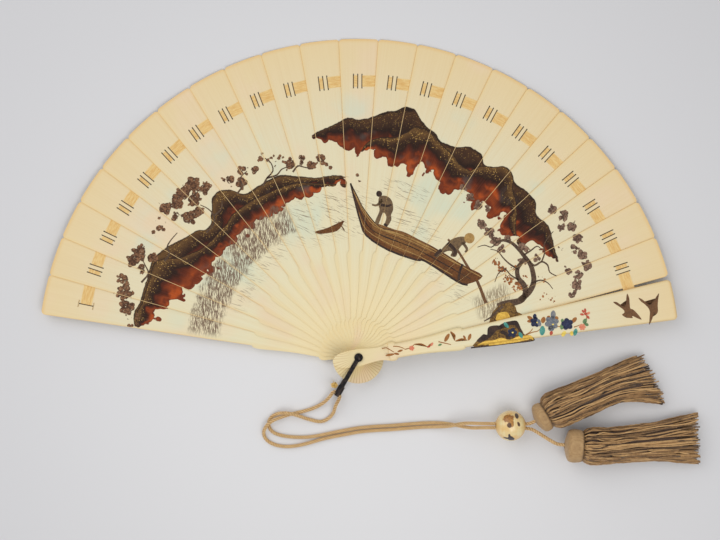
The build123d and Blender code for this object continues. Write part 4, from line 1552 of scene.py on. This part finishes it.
LANDSCAPE_LAYERS = (
    Layer("pine", Lacquer.BARK, (
        brush([(104.1, 37.6), (109.3, 39.9), (116.8, 41.3), (122, 43.2), (124.7, 48.1), (123.8, 54.1), (119.5, 59.3),
         (118.7, 66), (122, 71), (124.3, 74.2)], 5.5, 2.6),
        brush([(120.5, 42.8), (127.3, 48.8), (131, 56.3), (130.2, 64.5), (128, 70.5), (123.5, 76.5), (119.8, 81),
         (114.5, 85.8), (108.6, 87.7), (104.1, 86.5), (100.6, 88.5), (100, 92.9)], 4.6, 1.1),
        brush([(123.5, 76.5), (128.8, 79.8), (133.6, 83.2), (137, 81)], 1.4, 0.6),
        brush([(127.3, 72), (131.7, 68.7), (137, 71.6), (141.5, 69), (143, 63.8), (148.2, 60.8)], 1.8, 0.7),
        brush([(137, 71.6), (139.2, 78), (138.9, 84), (142.2, 89.9), (146, 94.4)], 1.2, 0.5),
        brush([(119, 66), (112.3, 70.5), (107.8, 75), (104.1, 79.5), (98.8, 81)], 1.4, 0.5),
        brush([(119.8, 57.8), (113.8, 61.5), (110.1, 66), (106.3, 67.5)], 1.3, 0.5),
        brush([(129.5, 55.6), (136.2, 57.8), (141.5, 55.6), (145.2, 51.1)], 1.3, 0.5),
        brush([(110.1, 66), (104.8, 63), (101.8, 56.3)], 0.9, 0.5),
        brush([(104.1, 86.5), (99.6, 82.5), (94.4, 84), (89.1, 82.5)], 1.0, 0.5),
    ), 0.05),
    Layer("left_trunks", Lacquer.BARK, (
        brush([(-145.7, 72), (-141.9, 78), (-143.4, 83.2), (-140.4, 88.5), (-135.9, 93.7)], 1.5, 0.6),
        brush([(-114.2, 93.7), (-109, 99.7), (-108.3, 106.4), (-112.8, 111.6), (-118.7, 114.6)], 1.5, 0.6),
        brush([(-108.3, 106.4), (-103, 111.6), (-102.3, 117.6)], 1.5, 0.6),
        brush([(-71.6, 128.8), (-68.6, 134.8), (-64.2, 140), (-65.6, 146), (-70.1, 149.8)], 1.5, 0.6),
        brush([(-68.6, 134.8), (-61.2, 137.1), (-57.4, 141.5), (-50.7, 143.8)], 1.5, 0.6),
        brush([(-49.2, 139.3), (-45.5, 143.8), (-41, 143), (-34.2, 141.5)], 1.5, 0.6),
        brush([(-162.8, 56.3), (-157.6, 63), (-159.9, 69), (-162.8, 75)], 1.5, 0.6),
        brush([(-91.1, 122.8), (-87.3, 128.8), (-88.8, 134.8), (-83.6, 140)], 1.5, 0.6),
    ), 0.05),
    Layer("rock", Lacquer.ROCK, (
        ring([(96.6, 20.4), (97.7, 27.1), (99.6, 33.1), (104.1, 38), (108.6, 40.2), (113.1, 41), (116.8, 38.4),
         (118.3, 34.2), (121.3, 32.7), (124.3, 29.8), (121.3, 26.4), (112.3, 25.9), (104.8, 24.4)]),
    ), 0.06),
    Layer("roots", Lacquer.BARK, (
        brush([(107.8, 38.4), (103.3, 34.6), (98.8, 30.1), (93.6, 27.1)], 2.4, 0.8),
    ), 0.08),
    Layer("plateau", Lacquer.GOLD, (
        ring([(102.9, 27.4), (103.5, 32.1), (106, 33.6), (110.5, 33.9), (112.6, 31.3), (112.8, 28.2)]),
    ), 0.08),
    Layer("plateau_line", Lacquer.DARK, (
        brush([(102.3, 26.7), (107.8, 27.6), (113.4, 28.2)], 1.2),
    ), 0.09),
    Layer("oar", Lacquer.BROWN, (
        brush([(67.1, 88.5), (74.2, 80.2), (80.5, 69.8), (84.6, 63.4), (89.1, 56.3), (95.1, 40.6)], 1.6, 2.4),
        brush([(-14.8, 101.9), (-10.3, 95.2)], 0.9),
    ), 0.05),
    Layer("boat", Lacquer.BOAT, (
        ring([(-5.8, 130.7), (3.9, 111.6), (15.9, 98.2), (27.1, 95.6), (36.8, 92.2), (55.5, 83.2), (78.7, 69),
         (92.9, 60.8), (81.6, 54.8), (74.2, 57), (50.2, 72.8), (43.5, 73.5), (22.6, 81), (6.1, 92.2),
         (1.6, 102.7), (-2.1, 116.9)]),
        ring([(-32.4, 94.4), (-24.5, 96.7), (-16.3, 100.3), (-10.7, 102.7), (-12.2, 99.2), (-15.9, 94.9), (-23.8, 93.1),
         (-29.8, 92.8)]),
    ), 0.06),
    Layer("thatch", Lacquer.THATCH, (
        ring([(10.6, 100.8), (27.1, 95.9), (36.8, 92.9), (51.7, 84.3), (55.5, 79.5), (45, 76.5), (30.1, 80.2),
         (15.1, 89.2)]),
    ), 0.08),
    Layer("planks", Lacquer.STRAW, (
        brush([(-3.9, 125.8), (2.4, 111.6), (12.1, 98.5), (30.1, 91.1), (52.5, 81), (74.9, 69.3)], 0.45),
        brush([(0.1, 109.4), (6.1, 95.6), (24.1, 84.7), (46.5, 75.3), (70.4, 61.5)], 0.45),
        brush([(18.8, 96.2), (34.5, 91.1), (52.5, 82.3)], 0.5),
        brush([(-5.1, 128.8), (4.6, 109.8), (16.3, 97), (35.3, 90.7), (54.7, 81.9), (77.9, 67.8), (91.4, 60.3)], 0.6),
    ), 0.085),
    Layer("boat_edges", Lacquer.DARK, (
        brush([(-2.7, 121.4), (3.1, 106.4), (10.6, 95.2), (28.6, 87.3), (49.5, 78), (71.9, 65.7)], 0.5),
        brush([(20.3, 92.6), (34.5, 87.6), (51, 79.8)], 0.4),
        brush([(-5.8, 130.7), (-2.2, 116.1), (1.5, 102.3), (6.1, 91.4), (22.6, 80.4), (43.5, 72.9), (50.2, 72),
         (74.2, 56.6), (81.6, 54.2)], 1.3, 1.6),
        brush([(-1.3, 116.1), (6.1, 99.7), (19.6, 90.3), (39, 83.2), (58.5, 72.8), (83.9, 58.5)], 0.5),
        brush([(77.9, 69.8), (75.7, 63.8), (74.9, 57)], 1.7),
        brush([(-5.8, 130.7), (-0.6, 120.6), (4.6, 110.9), (15.9, 97.8), (27.1, 95.2)], 0.8, 0.5),
    ), 0.09),
    Layer("cloth", Lacquer.CLOTH, (
        ring([(15.9, 120.6), (21.1, 121.1), (25.1, 117.6), (26.2, 111.2), (24.5, 106.8), (24.8, 103.4), (21.8, 98.2),
         (19.6, 98.9), (21.1, 105.3), (18.5, 108.6), (15.4, 100.4), (12.4, 101.2), (15.9, 109.8), (15.1, 114.6)]),
        ring([(79.1, 90.4), (80.5, 85.9), (77.5, 84), (74.9, 80.5), (73, 75.4), (68.9, 76), (70.1, 79.2),
         (66.4, 79.5), (61.5, 76.9), (58.5, 75), (57.4, 76.6), (62.2, 81), (66.7, 85.8), (71.5, 89.2)]),
        brush([(18.1, 118.4), (14, 114.2), (10.3, 114.6)], 2.2, 1.2),
        brush([(77.9, 86.2), (81.2, 81.3), (79.9, 78.7)], 2.4, 1.4),
    ), 0.1),
    Layer("hair", Lacquer.DARK, (
        ring([(14.1, 124.6), (16.2, 124.9), (17.8, 123.4), (17.3, 121.2), (15.1, 120.5), (13.5, 122.1)]),
        brush([(16.9, 114.6), (21.8, 113.5), (24.8, 114.6)], 2.2, 1.4),
        brush([(19.3, 100), (21.8, 98.5)], 1.8),
        brush([(62.2, 80.5), (58.9, 78), (57.4, 75.7)], 2.6, 2.0),
        brush([(66.7, 85.5), (70.4, 82.5), (72.7, 79), (70.9, 76.2)], 2.8, 2.0),
    ), 0.11),
    Layer("straw_hat", Lacquer.STRAW, (
        ring([(79.4, 90.2), (80.9, 92.5), (83.9, 93.1), (86.4, 91.4), (86.9, 88.5), (85.1, 85.8), (82.1, 85.5),
         (79.7, 87.3)]),
    ), 0.12),
)
GUARD_LAYERS = (
    Layer("cranes", Lacquer.BROWN, (
        ring([(189.7, 41.3), (192.3, 41.3), (195, 39.4), (197.8, 37.3), (199.3, 39.9), (199.5, 43.9), (200.2, 47.6),
         (201.7, 44.3), (202, 40.2), (202.5, 36.6), (204.6, 35.7), (207.6, 32.8), (210.9, 28.3), (206.8, 29.7),
         (204, 31), (204.1, 29.4), (201.7, 29.5), (199.3, 29.7), (196.3, 31.8), (198, 33.4), (197.5, 35.4),
         (194.3, 37.9), (191.9, 39.4)]),
        ring([(208.6, 44.5), (211.4, 43.3), (214.3, 41), (217.1, 39.3), (219.8, 41.9), (223.9, 47.9), (223.4, 43.6),
         (223, 39.1), (223.1, 34.6), (221.9, 32.2), (220.3, 32.7), (218.8, 28.9), (216.8, 24.3), (216.8, 29.4),
         (217.1, 33.9), (215.9, 37), (213.1, 39.9), (210.7, 41.6)]),
    ), 0.12),
    Layer("stems", Lacquer.RUST, (
        brush([(17.3, 6.6), (20.3, 7.3), (22.6, 6.2), (26.3, 4)], 0.8, 0.5),
        brush([(25.6, 8.4), (28.6, 8.3), (31.6, 7.6), (34.5, 6.2)], 0.8, 0.5),
        brush([(41.3, 9.9), (46.5, 10.3), (51, 8.1)], 0.7, 0.5),
        brush([(34.5, 6.2), (39, 7.4), (41.3, 9.9)], 0.7, 0.5),
        brush([(59.2, 11.8), (65.9, 10.3), (68.6, 9.6)], 0.8, 0.5),
        brush([(68.2, 19.3), (71.6, 16.7), (71.2, 12.6)], 0.9, 0.5),
        brush([(124.3, 17), (127.3, 18.9), (129.5, 21.5)], 0.8, 0.5),
        brush([(124.3, 16.8), (129.5, 18.9), (133.2, 19.7), (136.2, 22.7)], 0.8, 0.5),
        brush([(147.4, 23.2), (150.4, 23)], 0.7),
        brush([(160.2, 22.7), (162.4, 23.3), (164.6, 24.2)], 0.8, 0.5),
        brush([(169.1, 27.1), (169.9, 29.4), (169.4, 31.6)], 0.8, 0.5),
        brush([(71.9, 12.2), (76.4, 14.1), (80.9, 12.9)], 0.8, 0.5),
    ), 0.1),
    Layer("hill_rock", Lacquer.ROCK, (
        ring([(87.3, 11.8), (89.9, 14.7), (92.9, 17.4), (95.5, 17), (95.9, 21.2), (98.1, 23.4), (104.8, 23.8),
         (108.6, 26), (113.1, 27.1), (117.9, 27.1), (120.5, 21.9), (122.4, 18.2), (124.3, 16.8), (126.5, 16.7),
         (129.5, 14.4), (129.1, 12.6), (108.6, 10.2), (86.1, 8)]),
    ), 0.14),
    Layer("hill_gold", Lacquer.GOLD, (
        ring([(88.4, 9), (91.4, 11.1), (95.1, 12.5), (100.3, 12.9), (106.3, 14.7), (112.3, 13.2), (118.3, 15.6),
         (124.3, 16.4), (127.3, 16.7), (129.8, 14.9), (129.5, 12.9), (113.8, 10.8), (98.8, 9)]),
    ), 0.17),
    Layer("hill_dark", Lacquer.DARK, (
        ring([(87.6, 12.2), (90.6, 15.5), (92.9, 17.4), (95.5, 17), (95.9, 21.2), (98.1, 23.4), (104.8, 23.8),
         (107.1, 21.6), (102.6, 20.1), (99.6, 16.7), (95.9, 13.7), (91.4, 11.9)]),
        ring([(108.6, 26), (113.1, 27.1), (117.9, 27.1), (120.5, 21.9), (122.4, 18.2), (119.8, 18.9), (117.5, 22.2),
         (115.3, 24.2), (111.3, 23.6), (106.6, 21.9), (104.8, 23.8)]),
        ring([(107.1, 20.4), (110.8, 18.2), (113.1, 14.4), (110.1, 13.4), (108.9, 16.4), (105.3, 18.5)]),
        brush([(83.6, 7.3), (98.8, 8.9), (113.8, 10.7), (129.8, 12.6), (129.8, 14.7)], 1.1, 0.8),
    ), 0.2),
    Layer("brown_leaves", Lacquer.RUST, (
        oval((127.6, 29.4), 5, 2.6, 150),
        oval((127.6, 27.1), 4.6, 2.4, 185),
        oval((137.4, 27.9), 5, 3.4, 75),
        oval((141.3, 29.8), 3, 2.6, 45),
        oval((147.4, 29.4), 3, 2.6, 135),
        oval((160.5, 27.9), 5.2, 3, 50),
        oval((65.6, 14.8), 7, 2.8, 60),
        oval((82.4, 15.2), 5.4, 2.4, 70),
        oval((23.3, 2.1), 7, 1.8, 10),
        oval((28.2, 2.8), 4, 1.6, -10),
        oval((52.9, 9.2), 4, 1.6, 40),
        oval((78.7, 14.9), 3.6, 1.6, 120),
        oval((30.8, 5), 4.2, 1.6, 20),
    ), 0.16),
    Layer("green_leaves", Lacquer.GREEN, (
        oval((151.6, 23.4), 5.4, 3.4, 70),
        oval((168.4, 27.1), 4.2, 3, 60),
        oval((169.6, 24.7), 3.6, 2.4, -30),
        oval((151.6, 27.4), 3, 2.4, 90),
        oval((60.4, 9.5), 3, 1.6, 20),
    ), 0.16),
    Layer("teal_leaves", Lacquer.TEAL, (
        oval((136.6, 20), 7.2, 4.2, 85),
        oval((161.4, 18.9), 5.4, 3.2, 80),
        oval((109.7, 24.2), 5.4, 2.6, -50),
        oval((120.5, 16.7), 5, 2.8, -60),
    ), 0.24),
    Layer("dark_blossoms", Lacquer.NAVY, (
        blossom((131.4, 26.4), 4.0, 5, 0.2),
        blossom((155.3, 24.9), 4.6, 5, 0.5),
        blossom((114.2, 18.5), 3.7, 5, 0.1),
        oval((131, 30.6), 4, 2.8, 80),
    ), 0.26),
    Layer("grey_blossoms", Lacquer.SHELL, (
        blossom((143.7, 25.9), 5.4, 6, 0.3),
        oval((144.8, 31.9), 6.4, 3.8, 88),
        oval((134.1, 25.8), 5.6, 3, 110),
        oval((143.3, 21.8), 5, 4.4, 20),
    ), 0.3),
    Layer("coral_blossoms", Lacquer.CORAL, (
        blossom((166.5, 22.7), 2.6, 6, 0),
        oval((171.1, 33), 2.8, 1.8, 30),
        blossom((39.4, 7), 2.0, 5, 0),
        oval((54.4, 9.9), 3, 1.6, 60),
    ), 0.22),
    Layer("red_blossoms", Lacquer.RED, (
        oval((143.3, 18.2), 3.4, 2.4, 75),
        oval((168.7, 35.1), 3.2, 1.7, 95),
        oval((170.8, 30.1), 3.2, 1.7, -50),
        oval((166.3, 32.1), 3, 1.7, 170),
        oval((167.2, 34.3), 2.8, 1.6, 130),
        oval((169.1, 32.5), 2.6, 2.2, 0),
        oval((52, 8.1), 2.6, 1.4, 20),
    ), 0.24),
    Layer("yellow_blossoms", Lacquer.YELLOW, (
        oval((152.7, 17.6), 4.6, 3, 60),
        oval((158.7, 17.9), 3.6, 2.6, 100),
        oval((132.8, 26.1), 1.2, 1.0, 0),
        oval((114.5, 18.6), 1.5, 1.2, 0),
        oval((144.6, 24.6), 1.5, 1.2, 0),
    ), 0.34),
)


@dataclass
class RaisedPainting:
    """Lacquer plates on the blades, split where one blade passes over the next.

    Each plate starts a little below its blade's face. It reaches OVERLAP past the blade's own
    edge and TUCK under the next blade. On the guard it is cut at the BENDS, measured in from
    each edge, so that it follows the rounding.
    """

    LEAF_DEPTH = 0.01
    GUARD_DEPTH = 0.02
    OVERLAP = 0.12
    TUCK = 0.45
    BENDS = (2.2, 1.7, 1.2, 0.75, 0.35)
    GUARD_SPAN = (84.0, 230.0)

    plane: FanPlane
    plan: BladePlan

    def build(self, layers: Sequence[Layer]) -> None:
        """Builds every layer on each blade that it crosses.

        Args:
            layers: The layers, lowest first.
        """
        for layer in layers:
            material = lacquer(layer.kind)
            for number in range(self.plan.leaf_count + 1):
                self.on_leaf(layer, number, material)
            log.info("layer %s built", layer.name)

    def on_leaf(self, layer: Layer, number: int, material: bpy.types.Material) -> None:
        """Builds what shows of a layer on one blade."""
        own, own_normal = self.plan.left_edge(number)
        next_one, next_normal = self.plan.left_edge(number + 1)
        own = own - own_normal * self.OVERLAP
        under = 0.0 if number == self.plan.leaf_count else self.TUCK
        next_one = next_one - next_normal * under
        chosen = [outline for outline in layer.outlines
                  if min((p - own).dot(own_normal) for p in outline) < 0
                  and max((p - next_one).dot(next_normal) for p in outline) > 0]
        if not chosen:
            return
        piece = plates(f"{layer.name}_{self.plan.body(number)}", chosen, self.plan.top(number) - self.LEAF_DEPTH)
        cut(own, own_normal)
        cut(next_one, -next_normal)
        thicken(layer.thick)
        if not piece.data.polygons:
            bpy.data.objects.remove(piece)
            return
        piece.data.transform(self.plane.matrix())
        finish(piece, material, self.plan.body(number))

    def on_guard(self, layers: Sequence[Layer]) -> None:
        """Builds the layers of the front guard, bent over its rounded edges.

        Args:
            layers: The layers, lowest first.
        """
        number = self.plan.leaf_count + 1
        turn = Matrix.Rotation(math.radians(-self.plan.angle(number)), 2)
        for layer in layers:
            piece = plates(f"{layer.name}_front_guard", layer.outlines, self.plan.front_top - self.GUARD_DEPTH)
            bpy.ops.mesh.select_all(action="SELECT")
            bpy.ops.mesh.quads_convert_to_tris()
            for side in (-1, 1):
                for inset in self.BENDS:
                    near, far = (turn.inverted() @ Vector((x, side * (self.plan.half_width(x) - inset)))
                                 for x in self.GUARD_SPAN)
                    across = Vector((near.y - far.y, far.x - near.x, 0)).normalized()
                    bpy.ops.mesh.select_all(action="SELECT")
                    bpy.ops.mesh.bisect(plane_co=(near.x, near.y, 0), plane_no=across, threshold=0.002,
                                        use_fill=False, clear_inner=False, clear_outer=False)
            thicken(layer.thick)
            for vertex in piece.data.vertices:
                own = turn @ Vector((vertex.co.x, vertex.co.y))
                inset = self.plan.half_width(own.x) - abs(own.y)
                rounding = self.plan.guard_rounding
                if inset < rounding:
                    short = rounding - max(inset, 0.05)
                    vertex.co.z -= rounding - math.sqrt(rounding ** 2 - short ** 2)
            piece.data.transform(self.plane.matrix())
            finish(piece, lacquer(layer.kind), "front_guard")
            log.info("guard layer %s built", layer.name)


# ---------------------------------------------------------------------------------------
# Studio


@dataclass
class Studio:
    """Floor, lights and camera."""

    middle: Point2 = (1.02, -39.5)
    view_width: float = 538.3
    lens: float = 85.0
    sensor: float = 36.0
    focus_height: float = 0.012

    def build(self) -> None:
        """Builds the floor, the lights and the camera."""
        self.camera()
        self.floor()
        self.light("key", (0.3, -0.62, 1.3), 0.9, 6.6, (1.0, 0.98, 0.955))
        self.light("fill", (-1.0, 0.75, 1.3), 1.8, 12.0, (0.99, 0.99, 1.0))
        world = bpy.data.worlds.new("studio_air")
        world.use_nodes = True
        air = world.node_tree.nodes["Background"]
        Graph(world.node_tree).feed_all(air, {"Color": (0.985, 0.985, 1.0, 1.0), "Strength": 0.55})
        bpy.context.scene.world = world
        bpy.context.scene.view_settings.view_transform = "Standard"
        log.info("studio built")

    def camera(self) -> None:
        """Adds the camera, straight above the fan."""
        distance = self.view_width * MM * self.lens / self.sensor
        deselect()
        x, y = self.middle
        bpy.ops.object.camera_add(location=(x * MM, y * MM, distance + self.focus_height), rotation=(0, 0, 0))
        camera = bpy.context.object
        camera.name = "camera"
        camera.data.lens = self.lens
        camera.data.sensor_width = self.sensor
        bpy.context.scene.camera = camera

    def floor(self) -> None:
        """Adds the pale floor, with a painted pool of light: lighter round the middle, darker towards the sides."""
        deselect()
        bpy.ops.mesh.primitive_plane_add(size=6, location=(0, 0, 0))
        floor = bpy.context.object
        floor.name = "floor"
        material, g, shader = new_material("pale_paper")
        # Painted pool of light: the floor is lighter round the middle and darker towards the sides.
        far = g.distance(g.object_place(), (0.0, -0.08, 0))
        shade = g.mix(g.smooth(far, 0.05, 0.42), paint(222, 222, 223), paint(206, 206, 208))
        g.feed_all(shader, {"Base Color": shade, "Roughness": 0.85})
        floor.data.materials.append(material)

    @staticmethod
    def light(name: str, place: Point3, size: float, power: float, color: Point3) -> None:
        """Adds one soft lamp aimed at the fan.

        Args:
            name: Its name.
            place: Where it stands, in metres.
            size: Its side, in metres.
            power: Its power in watts.
            color: Its colour.
        """
        deselect()
        bpy.ops.object.light_add(type="AREA", location=place)
        lamp = bpy.context.object
        lamp.name = name
        lamp.data.size = size
        lamp.data.energy = power
        lamp.data.color = color
        aim = Vector((0, 0, 0)) - Vector(place)
        lamp.rotation_euler = aim.to_track_quat("-Z", "Y").to_euler()


def main() -> None:
    """Builds the fan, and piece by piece."""
    logging.basicConfig(level=logging.INFO, format="%(name)s: %(message)s")
    joint = next(j for j in frame["joints"] if j["name"] == "fan_fold")
    plane, plan = FanPlane.from_joint(joint), BladePlan()
    Studio().build()
    CordSet(plane).build()
    Blades(plane, plan).dress()
    Fittings().dress()
    painting = RaisedPainting(plane, plan)
    painting.build(LANDSCAPE_LAYERS)
    painting.on_guard(GUARD_LAYERS)
    log.info("pieces finished")


if __name__ == "__main__":
    main()
